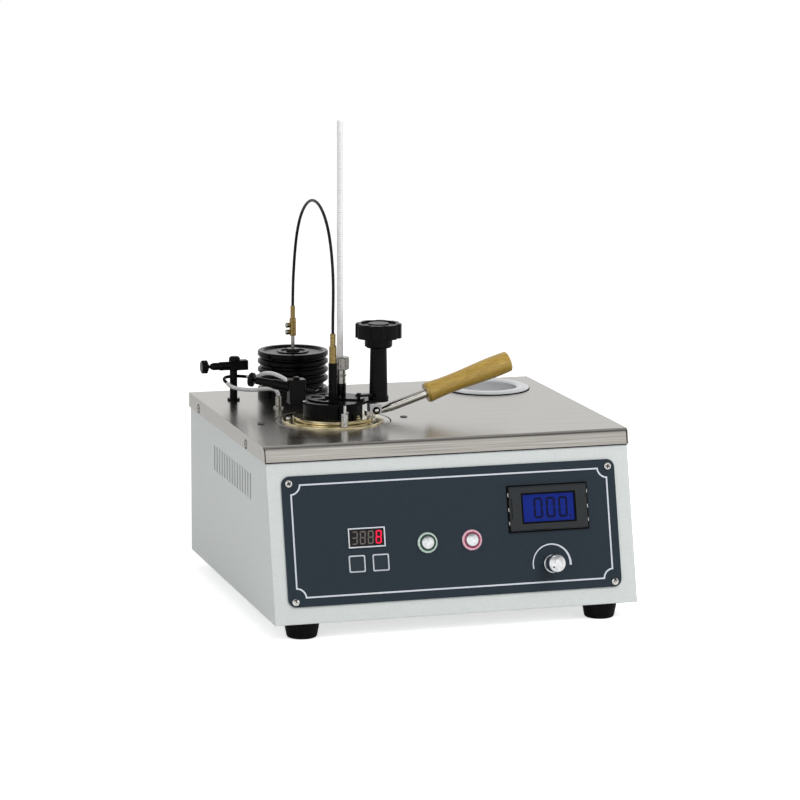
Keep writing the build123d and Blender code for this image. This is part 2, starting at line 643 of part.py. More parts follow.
nodes["locating_post"] = STOVE * Pos(-0.7, POST_Y, 0) * post

# Storage well
well = turned((WELL_R, 0), (WELL_R, WELL_FLANGE_T - WELL_BEVEL / 2), (WELL_R + WELL_BEVEL, WELL_FLANGE_T),
              (WELL_FLANGE_R - WELL_BEVEL, WELL_FLANGE_T), (WELL_FLANGE_R, WELL_FLANGE_T / 2),
              (WELL_FLANGE_R, 0),
              (WELL_R + WELL_WALL, 0), (WELL_R + WELL_WALL, -WELL_DEPTH), (0, -WELL_DEPTH),
              (0, -WELL_DEPTH + WELL_WALL), (WELL_R, -WELL_DEPTH + WELL_WALL))
nodes["storage_well"] = Pos(WELL_X, WELL_Y, 0) * well

# Motor
ribs = [(0, 0), (MOTOR_R, 0), (MOTOR_R, 7), (MOTOR_R - 1.5, 8.5), (MOTOR_WAIST_R, 8.5)]
for z in MOTOR_RIBS:
    half = MOTOR_RIB_T / 2
    ribs += [(MOTOR_WAIST_R, z - half), (MOTOR_R - 1.6, z - half + 0.5), (MOTOR_R, z - 1.3),
             (MOTOR_R, z + 1.3), (MOTOR_R - 1.6, z + half - 0.5), (MOTOR_WAIST_R, z + half)]
motor_split = MOTOR_TOP - MOTOR_CAP_T
ribs += [(MOTOR_WAIST_R, motor_split), (SPINDLE_R + 3, motor_split), (SPINDLE_R + 3, motor_split - 4),
         (0, motor_split - 4)]
nodes["motor_housing"] = Pos(MOTOR_X, MOTOR_Y, 0) * turned(*ribs)
cap = turned((SPINDLE_R + RUN, motor_split), (MOTOR_R - 1, motor_split), (MOTOR_R, motor_split + 1),
             (MOTOR_R, MOTOR_TOP - 1), (MOTOR_R - 1, MOTOR_TOP), (MOTOR_R - 5, MOTOR_TOP),
             (MOTOR_R - 6.5, MOTOR_TOP - 1.8), (17, MOTOR_TOP - 1.8), (16, MOTOR_TOP - 0.6),
             (13, MOTOR_TOP - 0.6), (12, MOTOR_TOP - 1.8), (7, MOTOR_TOP - 1.8), (6.5, MOTOR_TOP + 1.5),
             (SPINDLE_R + RUN, MOTOR_TOP + 1.5))
nodes["motor_cap"] = Pos(MOTOR_X, MOTOR_Y, 0) * cap
spindle = disc(SPINDLE_R, motor_split - 3.5, SPINDLE_TOP)
spindle += disc(SPINDLE_R + 2, motor_split - 3.7, motor_split - 0.3)
nodes["motor_spindle"] = Pos(MOTOR_X, MOTOR_Y, 0) * spindle

# Gas post with its valve, the tube round it, the nipple and the supply hose
gas_post = disc(GAS_POST_R, 0, GAS_POST_TOP, GAS_X, GAS_Y)
nodes["gas_post"] = gas_post + disc(GAS_POST_R + 2.5, 0, 2, GAS_X, GAS_Y)
block = slab(GAS_X - GAS_BLOCK_LEFT, GAS_X + GAS_BLOCK_RIGHT, GAS_Y - GAS_BLOCK_DEPTH / 2,
             GAS_Y + GAS_BLOCK_DEPTH / 2, GAS_POST_TOP, GAS_BLOCK_TOP)
block = chamfer(block.edges(), 0.6)
dome = disc(GAS_DOME_R, GAS_BLOCK_TOP - 0.5, GAS_BLOCK_TOP + GAS_DOME_H, GAS_X + 1, GAS_Y)
block += fillet(dome.edges().sort_by(Axis.Z)[-1], GAS_DOME_H * 0.7)
west = Plane(origin=(GAS_X - GAS_BLOCK_LEFT, GAS_Y, GAS_VALVE_Z), x_dir=(0, -1, 0), z_dir=(-1, 0, 0))
barrel = west * turned((0, -1), (GAS_BARREL_R, -1), (GAS_BARREL_R, GAS_BARREL_LENGTH * 0.5),
                        (GAS_BARREL_R - 0.6, GAS_BARREL_LENGTH * 0.55),
                        (GAS_BARREL_R - 0.6, GAS_BARREL_LENGTH - 3),
                       (GAS_BARREL_R - 1.8, GAS_BARREL_LENGTH), (0, GAS_BARREL_LENGTH))
block += barrel
block -= west * Pos(0, 0, GAS_BARREL_LENGTH / 2 + 1) * Cylinder(GAS_STEM_R + RUN, GAS_BARREL_LENGTH)
nodes["gas_valve_body"] = block
valve_end = GAS_BARREL_LENGTH + GAS_KNOB_GAP
gas_knob = turned((0, 3), (GAS_STEM_R, 3), (GAS_STEM_R, valve_end), (GAS_KNOB_R - 3, valve_end),
                  (GAS_KNOB_R, valve_end + 1.5), (GAS_KNOB_R, valve_end + GAS_KNOB_T - 1),
                  (GAS_KNOB_R - 1, valve_end + GAS_KNOB_T), (0, valve_end + GAS_KNOB_T))
for step in range(12):
    gas_flute = Pos(GAS_KNOB_R + 0.6, 0, valve_end + GAS_KNOB_T / 2) * Cylinder(1.1, GAS_KNOB_T)
    gas_knob -= Rot(0, 0, 30 * step) * gas_flute
nodes["post_valve_knob"] = west * gas_knob
tube_right = (GAS_X + 15.2, GAS_Y, TUBE_Z)
tube_left = (GAS_X - 8, GAS_Y - 7.5, TUBE_Z - 4.5)
tube_points = [tube_right, (GAS_X + 9, GAS_Y + 6.5, TUBE_Z), (GAS_X, GAS_Y + TUBE_TURN_R, TUBE_Z),
               (GAS_X - 8, GAS_Y + 5.5, TUBE_Z - 0.5), (GAS_X - 10.4, GAS_Y - 1, TUBE_Z - 2), tube_left]
gas_tube = hose("gas_tube", tube_points, TUBE_R)
back_of_post = Plane(origin=(GAS_X, GAS_Y, TUBE_Z), x_dir=(1, 0, 0), z_dir=(0, 1, 0))
gas_tube += back_of_post * extrude(Circle(TUBE_R + 0.6), TUBE_TURN_R)
gas_tube -= disc(GAS_POST_R, 0, GAS_POST_TOP, GAS_X, GAS_Y)
nodes["gas_tube"] = gas_tube
nipple = turned((0, 0), (NIPPLE_R + 2, 0), (NIPPLE_R + 2, 1.6), (NIPPLE_R, 2.4), (NIPPLE_R, NIPPLE_TOP - 1),
                (NIPPLE_R - 0.8, NIPPLE_TOP), (0, NIPPLE_TOP))
nodes["plate_nipple"] = Pos(NIPPLE_X, NIPPLE_Y, 0) * nipple
supply_points = [tube_left, (-156.4, 84.0, 16.6), (-150.4, 76.4, 15.4), (-143.2, 68.2, 15.2),
                 (-135.6, 60.2, 16.2), (-128.4, 52.8, 18.3), (-122.0, 46.9, 19.2), (-117.6, 43.3, 17.2),
                 (NIPPLE_X, NIPPLE_Y, NIPPLE_TOP)]
nodes["supply_hose"] = hose("supply_hose", supply_points, HOSE_R)

# Cup
flange_low = STOVE_PLATE_TOP
cup_r = CUP_INNER_R + CUP_WALL
cup_floor = CUP_RIM - CUP_DEPTH
cup = turned((0, cup_floor - CUP_FLOOR), (cup_r - 2, cup_floor - CUP_FLOOR),
             (cup_r, cup_floor - CUP_FLOOR + 2),
             (cup_r, flange_low), (CUP_FLANGE_R - 0.6, flange_low), (CUP_FLANGE_R, flange_low + 0.6),
             (CUP_FLANGE_R, flange_low + CUP_FLANGE_T - 0.6), (CUP_FLANGE_R - 0.6, flange_low + CUP_FLANGE_T),
             (cup_r, flange_low + CUP_FLANGE_T), (cup_r, CUP_RIM), (CUP_INNER_R, CUP_RIM),
             (CUP_INNER_R, cup_floor + 1), (CUP_INNER_R - 1, cup_floor), (0, cup_floor))
nodes["cup"] = STOVE * cup
grip_plane = Plane(origin=(STOVE_X + HANDLE_ROOT_X, STOVE_Y, HANDLE_ROOT_Z), x_dir=(0, 1, 0),
                   z_dir=(cos(radians(HANDLE_TILT)), 0, sin(radians(HANDLE_TILT))))
rod = turned((0, 0), (ROD_TIP_R, 0), (ROD_R, ROD_TAPER), (ROD_R, ROD_LENGTH), (0, ROD_LENGTH))
nodes["handle_rod"] = grip_plane * rod
grip_end = ROD_LENGTH + GRIP_LENGTH
collar_end = ROD_LENGTH + 2 * GRIP_EDGE
profile = Spline((GRIP_END_R, collar_end), (GRIP_WAIST_R, ROD_LENGTH + GRIP_WAIST_AT),
                 (GRIP_BODY_R, ROD_LENGTH + GRIP_BODY_AT), (GRIP_BODY_R, grip_end - GRIP_EDGE))
outline = profile + Polyline((GRIP_BODY_R, grip_end - GRIP_EDGE), (GRIP_BODY_R - GRIP_EDGE, grip_end),
                             (0, grip_end), (0, ROD_LENGTH), (GRIP_END_R - GRIP_EDGE, ROD_LENGTH),
                             (GRIP_END_R, collar_end))
nodes["handle_grip"] = grip_plane * revolve(make_face(Plane.XZ * outline), Axis.Z)
flange_high = flange_low + CUP_FLANGE_T
bracket_top = flange_high + BRACKET_T
bracket_side = BRACKET_W / 2
bracket = slab(CUP_FLANGE_R - 6, CUP_FLANGE_R + 3, -bracket_side, bracket_side, flange_high, bracket_top)
bracket += slab(CUP_FLANGE_R, CUP_FLANGE_R + 3, -bracket_side, bracket_side, flange_low + 0.4, bracket_top)
for side in (-1, 1):
    cheek = side * bracket_side
    bracket += slab(CUP_FLANGE_R - 3, CUP_FLANGE_R + 9, cheek - 0.9, cheek + 0.9,
                    flange_high, flange_low + BRACKET_H)
sleeve_at = Pos(CUP_FLANGE_R + 3.5, 0, flange_high + 3.4) * Rot(90, 0, 0)
sleeve = sleeve_at * Cylinder(BRACKET_SCREW_R, BRACKET_W + 3.4)
bracket += sleeve
bracket -= disc(CUP_FLANGE_R, flange_low - 1, flange_high)
bracket = STOVE * bracket
nodes["handle_bracket"] = bracket - nodes["handle_rod"]

# Lid
nodes["lid_rim"] = STOVE * ring(LID_RIM_R, cup_r + LID_RIM_FIT, LID_RIM_BOTTOM, LID_UNDER)
lid = disc(LID_R, LID_UNDER, LID_TOP) + disc(cup_r, CUP_RIM, LID_UNDER)
bar = Polyline((0, -20), (KNOB_X, KNOB_Y - KNOB_BASE_R), (KNOB_X, KNOB_Y + KNOB_BASE_R), (0, 24), close=True)
lid += Pos(0, 0, LID_UNDER) * extrude(make_face(bar), LID_TOP - LID_UNDER)
lid += disc(KNOB_BASE_R, LID_UNDER, LID_TOP, KNOB_X, KNOB_Y)
lid += slab(BLOCK_X - BLOCK_W / 2, 0, -BLOCK_DEPTH / 2, BLOCK_DEPTH / 2, LID_UNDER, LID_TOP)
for angle in PORT_CENTRES:
    start, stop = angle - PORT_ANGLE / 2, angle + PORT_ANGLE / 2
    lid -= wedge(PORT_INNER_R, PORT_OUTER_R, start, stop, CUP_RIM - 1, LID_TOP + 1)
lid -= disc(STIR_HOUSING_R, CUP_RIM - 1, LID_TOP + 1)
lid -= disc(SPIGOT_R + RUN, CUP_RIM - 1, LID_TOP + 1, THERMO_X, THERMO_Y)
nodes["lid_cover"] = STOVE * lid
housing = ring(STIR_HOUSING_R, STIR_ROD_R + RUN, CUP_RIM, STIR_HOUSING_TOP)
nodes["stirrer_housing"] = STOVE * housing
nodes["thermometer_socket"] = STOVE * ring(SOCKET_R, SPIGOT_R + RUN, LID_TOP, SOCKET_TOP, THERMO_X, THERMO_Y)
shaft_hole = KNOB_SHAFT_R + RUN
column = turned((0, LID_TOP), (KNOB_BASE_R, LID_TOP), (KNOB_BASE_R, KNOB_BASE_TOP),
                (KNOB_POST_R, KNOB_BASE_TOP),
                (KNOB_POST_TOP_R, KNOB_POST_TOP), (KNOB_HEAD_R - 1.5, KNOB_POST_TOP),
                (KNOB_HEAD_R, KNOB_POST_TOP + 1.5),
                (KNOB_HEAD_R, KNOB_HEAD_TOP), (shaft_hole, KNOB_HEAD_TOP), (shaft_hole, KNOB_POST_TOP),
                (KNOB_POST_BORE, KNOB_POST_TOP - 2), (KNOB_POST_BORE, KNOB_BASE_TOP),
                (shaft_hole - 1, KNOB_BASE_TOP),
                (shaft_hole - 1, LID_TOP + 0.3), (0, LID_TOP + 0.3))
gate = KNOB_TURN / 2 + degrees(asin((LEVER_W / 2 + 1) / KNOB_POST_BORE))
gate_cut = wedge(1, KNOB_POST_R + 4, KNOB_BEARING - gate, KNOB_BEARING + gate, KNOB_BASE_TOP,
                 LEVER_Z + LEVER_T + 0.4)
column -= gate_cut
nodes["knob_post"] = STOVE * Pos(KNOB_X, KNOB_Y, 0) * column
star = Circle(KNOB_R)
for step in range(KNOB_LOBES):
    star -= Rot(0, 0, step * 360 / KNOB_LOBES) * Pos(KNOB_R + 3.2, 0) * Circle(5.4)
grip_low = KNOB_HEAD_TOP + 0.2
star_body = Pos(0, 0, grip_low) * extrude(star, KNOB_TOP - grip_low)
star_body = chamfer(star_body.edges().group_by(Axis.Z)[-1], 1.0)
star_body -= ring(17.5, 10, KNOB_TOP - 1.6, KNOB_TOP + 1)
turner = star_body + disc(KNOB_SHAFT_R, KNOB_BASE_TOP + 0.2, grip_low + 1)
turner += disc(KNOB_SHAFT_R - 1, LID_TOP + 0.5, KNOB_BASE_TOP + 1)
lever = slab(0, LEVER_LENGTH, -LEVER_W / 2, LEVER_W / 2, LEVER_Z, LEVER_Z + LEVER_T)
lever += disc(LEVER_W / 2, LEVER_Z, LEVER_Z + LEVER_T, LEVER_LENGTH, 0)
lever += disc(LEVER_PIN_R, LID_TOP + 0.5, LEVER_Z + 1, LEVER_LENGTH, 0)
lever += disc(2.2, LEVER_Z + LEVER_T - 0.2, LEVER_Z + LEVER_T + 1.4, LEVER_LENGTH, 0)
turner += Rot(0, 0, KNOB_REST) * lever
nodes["shutter_knob"] = STOVE * Pos(KNOB_X, KNOB_Y, 0) * turner
shutter_low = LID_TOP + SHUTTER_GAP
first_port = PORT_CENTRES[0] - SHUTTER_TURN - PORT_ANGLE / 2
sector_stop = PORT_CENTRES[-1] + PORT_ANGLE / 2 + 4
sweep_middle = (first_port - 5 + sector_stop) / 2
shutter = wedge(3, SHUTTER_R, first_port - 5, sweep_middle, shutter_low, SHUTTER_TOP)
shutter += wedge(3, SHUTTER_R, sweep_middle, sector_stop, shutter_low, SHUTTER_TOP)
for angle in PORT_CENTRES:
    centre = angle - SHUTTER_TURN
    shutter -= wedge(PORT_INNER_R, PORT_OUTER_R, centre - PORT_ANGLE / 2, centre + PORT_ANGLE / 2,
                     shutter_low - 1, SHUTTER_TOP + 1)
shutter += disc(SHUTTER_HUB_R, shutter_low, shutter_low + SHUTTER_HUB_H)
arm = slab(0, SHUTTER_ARM_R, -SHUTTER_ARM_W / 2, SHUTTER_ARM_W / 2, shutter_low, SHUTTER_TOP)
half_slot = LEVER_PIN_R + PIN_GAP
slot = slab(PIN_NEAR, PIN_FAR, -half_slot, half_slot, shutter_low - 1, SHUTTER_TOP + 1)
for reach in (PIN_NEAR, PIN_FAR):
    slot += disc(LEVER_PIN_R + PIN_GAP, shutter_low - 1, SHUTTER_TOP + 1, reach, 0)
shutter += Rot(0, 0, ARM_ANGLE) * (arm - slot)
shutter -= disc(STIR_HOUSING_R + RUN, shutter_low - 1, SHUTTER_TOP + 9)
nodes["shutter"] = STOVE * shutter

# Igniter block with its barrel, the swinging nozzle and the valve knob
half_block = BLOCK_W / 2
block = slab(BLOCK_X - half_block, BLOCK_X + half_block, -BLOCK_DEPTH / 2, BLOCK_DEPTH / 2, LID_TOP,
             BLOCK_TOP)
block = STOVE * fillet(block.edges().filter_by(Axis.Z), 2)
block += STOVE * disc(2.6, BLOCK_TOP - 1, BLOCK_TOP + 2.2, BLOCK_X, 0)
outwards = Plane(origin=BEARING, x_dir=IGNITER_X_DIR, z_dir=tuple(-v for v in IGNITER_AXIS))
block += outwards * turned((0, 0), (BARREL_R, 0), (BARREL_R, BARREL_LENGTH * 0.55),
                           (BARREL_END_R + 0.6, BARREL_LENGTH * 0.62),
                           (BARREL_END_R, BARREL_LENGTH), (0, BARREL_LENGTH))
block -= IGNITER * Cylinder(IGNITER_R + RUN, 2 * BLOCK_W)
block -= outwards * Pos(0, 0, BARREL_LENGTH) * Cylinder(BARREL_STEM_R + RUN, 24)
spigot_at = outwards * Pos(0, 0, SPIGOT_ALONG)
spigot = Pos(BARREL_R + SPIGOT_OUT / 2 - 1, 0, 0) * Rot(0, 90, 0) * Cylinder(HOSE_R - 0.4, SPIGOT_OUT + 2)
block += spigot_at * spigot
nodes["burner_block"] = block
elbow = IGNITER * Pos(0, 0, IGNITER_REACH)
nozzle = IGNITER * Pos(0, 0, IGNITER_REACH / 2 - 4) * Cylinder(IGNITER_R, IGNITER_REACH + 8)
nozzle += elbow * Sphere(IGNITER_R)
nozzle += elbow * Pos(IGNITER_ARM / 2, 0, 0) * Rot(0, 90, 0) * Cylinder(IGNITER_R - 0.2, IGNITER_ARM)
nozzle += elbow * Pos(IGNITER_ARM, 0, 0) * Sphere(IGNITER_R - 0.2)
tip = Rot(-90, 0, 0) * Cone(IGNITER_R - 0.2, IGNITER_TIP_R, IGNITER_NOZZLE)
nozzle += elbow * Pos(IGNITER_ARM, IGNITER_NOZZLE / 2, 0) * tip
nodes["igniter_tube"] = nozzle
stop = BARREL_LENGTH + VALVE_KNOB_GAP
knob_end = stop + VALVE_KNOB_T
valve_knob = turned((0, BARREL_LENGTH - 10), (BARREL_STEM_R, BARREL_LENGTH - 10), (BARREL_STEM_R, stop),
                    (VALVE_KNOB_R - 2.5, stop),
                    (VALVE_KNOB_R, stop + 1.2), (VALVE_KNOB_R, knob_end - 1), (VALVE_KNOB_R - 1, knob_end),
                    (0, stop + VALVE_KNOB_T))
for step in range(12):
    valve_flute = Pos(VALVE_KNOB_R + 0.6, 0, stop + VALVE_KNOB_T / 2) * Cylinder(1.1, VALVE_KNOB_T)
    valve_knob -= Rot(0, 0, 30 * step) * valve_flute
nodes["burner_valve_knob"] = outwards * valve_knob

# Stirrer, its drive coupling and the flexible shaft
rod = disc(STIR_ROD_R, STIR_LOW_Z - 3.4, STIR_HOUSING_TOP + 4)
for radius, z in ((STIR_LOW_R, STIR_LOW_Z), (STIR_HIGH_R, STIR_HIGH_Z)):
    rod += disc(STIR_ROD_R + 1.5, z - 3, z + 3)
    for side in range(2):
        blade = Pos(radius / 2, 0, 0) * Rot(BLADE_PITCH, 0, 0) * Box(radius, BLADE_W, BLADE_T)
        blade = blade & disc(radius, -9, 9)
        rod += Pos(0, 0, z) * Rot(0, 0, 180 * side) * blade
nodes["stirrer"] = STOVE * rod
coupling_low = STIR_HOUSING_TOP + 0.2
coupling = turned((0, coupling_low), (COUPLING_R, coupling_low), (COUPLING_R, coupling_low + COUPLING_H - 1),
                  (COUPLING_NECK_R, coupling_low + COUPLING_H + 1),
                  (COUPLING_NECK_R, coupling_low + COUPLING_H + COUPLING_NECK_H),
                  (0, coupling_low + COUPLING_H + COUPLING_NECK_H))
coupling -= disc(STIR_ROD_R, 0, STIR_HOUSING_TOP + 4)
nodes["stirrer_coupling"] = STOVE * coupling
drive = turned((0, DRIVE_BOTTOM), (DRIVE_R, DRIVE_BOTTOM), (DRIVE_R, DRIVE_TOP - 1),
               (DRIVE_NECK_R, DRIVE_TOP + 1),
               (DRIVE_NECK_R, DRIVE_NECK_TOP), (0, DRIVE_NECK_TOP))
drive -= disc(SPINDLE_R + DRIVE_FIT, 0, SPINDLE_TOP + 0.5)
for z in SET_SCREW_Z:
    drive_screw = Pos(-DRIVE_R - 1.2, 0, z) * Rot(0, 90, 0) * Cylinder(SET_SCREW_R, 2.8)
    drive += drive_screw - disc(SPINDLE_R + 1, 0, 99)
nodes["drive_coupling"] = Pos(MOTOR_X, MOTOR_Y, 0) * drive
stir_end = coupling_low + COUPLING_H + COUPLING_NECK_H + 0.2
shaft_route = [(MOTOR_Y, DRIVE_NECK_TOP + 0.2), (115.0, 110.0), (111.5, 130.0), (106.5, 150.0), (98.0, 170.5),
               (84.0, 188.5), (65.0, 201.5), (43.0, 209.0), (20.0, 209.0), (0.0, 202.5), (-17.0, 190.5),
                (-28.5, 174.0), (-35.5, 155.0), (-38.6, 136.0), (-38.4, 118.0), (STOVE_Y, 102.0),
                (STOVE_Y, stir_end)]
nodes["flexible_shaft"] = hose("flexible_shaft", [(STOVE_X, y, z) for y, z in shaft_route], SHAFT_R)

# Thermometer with its ferrule
stem = disc(THERMO_R, THERMO_BOTTOM, THERMO_TOP)
stem = fillet(stem.edges().filter_by(GeomType.CIRCLE), 1.6)
nodes["thermometer"] = STOVE * Pos(THERMO_X, THERMO_Y, 0) * stem
ferrule = turned((THERMO_R, LID_TOP), (SPIGOT_R, LID_TOP), (SPIGOT_R, SOCKET_TOP), (NECK_R, SOCKET_TOP),
                 (NECK_R, NECK_RING_Z - 1), (NECK_R + 1, NECK_RING_Z - 0.5), (NECK_R + 1, NECK_RING_Z + 0.5),
                  (NECK_R, NECK_RING_Z + 1), (NECK_R, NECK_TOP), (COLLAR_R - 0.8, NECK_TOP),
                  (COLLAR_R, NECK_TOP + 0.8),
                 (COLLAR_R, COLLAR_TOP - 0.8), (COLLAR_R - 0.8, COLLAR_TOP), (THERMO_R, COLLAR_TOP))
for step in range(COLLAR_FLUTES):
    groove = Pos(COLLAR_R + 0.35, 0, (NECK_TOP + COLLAR_TOP) / 2) * Cylinder(0.8, COLLAR_TOP - NECK_TOP)
    ferrule -= Rot(0, 0, step * 360 / COLLAR_FLUTES) * groove
nodes["thermometer_ferrule"] = STOVE * Pos(THERMO_X, THERMO_Y, 0) * ferrule

# Burner hose in its two lengths
hose_end = tuple((spigot_at * Pos(BARREL_R + SPIGOT_OUT, 0, 0)).position)
print("hose ends at", hose_end)
burner_points = [tube_right, (-133.2, 91.0, 23.4), (-133.2, 80.0, 25.2), (-133.4, 68.0, 28.2),
                 (-132.2, 44.0, 35.4), (-130.6, 31.0, 38.2), (-128.9, 17.5, 39.7), (-126.4, 4.5, 39.6),
                 (-123.2, -6.5, 38.2), (-121.3, -15.0, 36.3), hose_end]
HOSE_JOIN = tuple((Vector(*burner_points[3]) + Vector(*burner_points[4])) / 2)
nodes["hose_post_side"] = hose("hose_post_side", burner_points[:4] + [HOSE_JOIN], HOSE_R)
nodes["hose_lid_side"] = hose("hose_lid_side", [HOSE_JOIN] + burner_points[4:], HOSE_R)

for name, solid in nodes.items():
    solid = PLACE * solid
    solid.label = name
    export_step(solid, "parts/" + name + ".step")
print(len(nodes), "nodes")
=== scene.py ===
import math

import bmesh
import bpy
from mathutils import Euler, Matrix, Vector


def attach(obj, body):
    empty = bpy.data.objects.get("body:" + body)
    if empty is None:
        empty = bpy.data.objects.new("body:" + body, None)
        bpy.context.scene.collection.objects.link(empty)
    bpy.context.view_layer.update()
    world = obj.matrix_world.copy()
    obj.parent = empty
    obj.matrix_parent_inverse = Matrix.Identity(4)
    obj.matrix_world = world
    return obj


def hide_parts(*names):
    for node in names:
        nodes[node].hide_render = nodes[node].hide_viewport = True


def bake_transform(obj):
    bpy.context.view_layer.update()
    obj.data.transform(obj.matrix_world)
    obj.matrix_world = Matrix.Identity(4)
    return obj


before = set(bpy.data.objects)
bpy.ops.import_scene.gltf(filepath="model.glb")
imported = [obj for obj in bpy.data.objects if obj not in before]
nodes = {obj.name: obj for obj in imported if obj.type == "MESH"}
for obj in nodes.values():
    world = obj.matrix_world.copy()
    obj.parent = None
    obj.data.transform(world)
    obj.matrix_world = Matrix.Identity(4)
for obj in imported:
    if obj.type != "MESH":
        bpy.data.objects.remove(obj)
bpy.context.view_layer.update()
print("frame loaded with", len(nodes), "nodes")

# Sizes are in millimetres on the top cover: x to the right, y to the back, z up from its surface.
place = {"forward": 13.332, "up": 181.5}
case = {"depth": 306.0, "height": 164.5, "frontOut": 40.0}
stove = {"x": -82.5, "y": -37.0}


def metres(x, y, z):
    return Vector((x, y + place["forward"], z + place["up"])) / 1000


def linearColour(hexText, alpha=1.0):
    channels = [int(hexText[i:i + 2], 16) / 255 for i in (1, 3, 5)]
    linear = [c / 12.92 if c <= 0.04045 else ((c + 0.055) / 1.055) ** 2.4 for c in channels]
    return (*linear, alpha)


def addNode(tree, kind, settings=None, links=None):
    node = tree.nodes.new(kind)
    for name, value in (settings or {}).items():
        if isinstance(name, int) or name in node.inputs:
            node.inputs[name].default_value = value
        else:
            setattr(node, name, value)
    for name, socket in (links or {}).items():
        tree.links.new(socket, node.inputs[name])
    return node


def blankMaterial(name, shader):
    material = bpy.data.materials.new(name)
    material.use_nodes = True
    tree = material.node_tree
    tree.nodes.clear()
    surface = addNode(tree, "ShaderNodeBsdfPrincipled", shader)
    output = addNode(tree, "ShaderNodeOutputMaterial")
    tree.links.new(surface.outputs["BSDF"], output.inputs["Surface"])
    return material, tree, surface


# grainMm is the size of one grain along x, y and z
def finish(name, dark, light, shader, grainMm, roughness, bump=0.0, edgeMm=0.0, turn=(0, 0, 0), detail=4.0,
           contrast=(0.3, 0.7)):
    material, tree, surface = blankMaterial(name, shader)
    where = addNode(tree, "ShaderNodeTexCoord")
    mapping = addNode(tree, "ShaderNodeMapping", {"vector_type": "TEXTURE", "Rotation": turn,
                      "Scale": tuple(g / 1000 for g in grainMm)}, {"Vector": where.outputs["Object"]})
    grain = addNode(tree, "ShaderNodeTexNoise", {"Scale": 1.0, "Detail": detail, "Roughness": 0.6},
                    {"Vector": mapping.outputs["Vector"]})
    tint = addNode(tree, "ShaderNodeValToRGB", None, {"Fac": grain.outputs["Fac"]})
    for stop, at, colour in zip(tint.color_ramp.elements, contrast, (dark, light)):
        stop.position = at
        stop.color = linearColour(colour)
    tree.links.new(tint.outputs["Color"], surface.inputs["Base Color"])
    gloss = addNode(tree, "ShaderNodeMapRange", {"To Min": roughness[0], "To Max": roughness[1]},
                    {"Value": grain.outputs["Fac"]})
    tree.links.new(gloss.outputs["Result"], surface.inputs["Roughness"])
    normal = None
    if edgeMm:
        normal = addNode(tree, "ShaderNodeBevel", {"samples": 6, "Radius": edgeMm / 1000}).outputs["Normal"]
    if bump:
        links = {"Height": grain.outputs["Fac"]}
        if normal:
            links["Normal"] = normal
        bumps = addNode(tree, "ShaderNodeBump", {"Strength": 1.0, "Distance": bump / 1000}, links)
        normal = bumps.outputs["Normal"]
    if normal:
        tree.links.new(normal, surface.inputs["Normal"])
    return material


def glow(name, colour, strength, body):
    shader = {"Base Color": linearColour(body), "Roughness": 0.25, "Specular IOR Level": 0.1,
              "Emission Color": linearColour(colour), "Emission Strength": strength}
    return blankMaterial(name, shader)[0]


handleTilt = math.radians(18.2)  # the grain and the drawing marks run along the handle

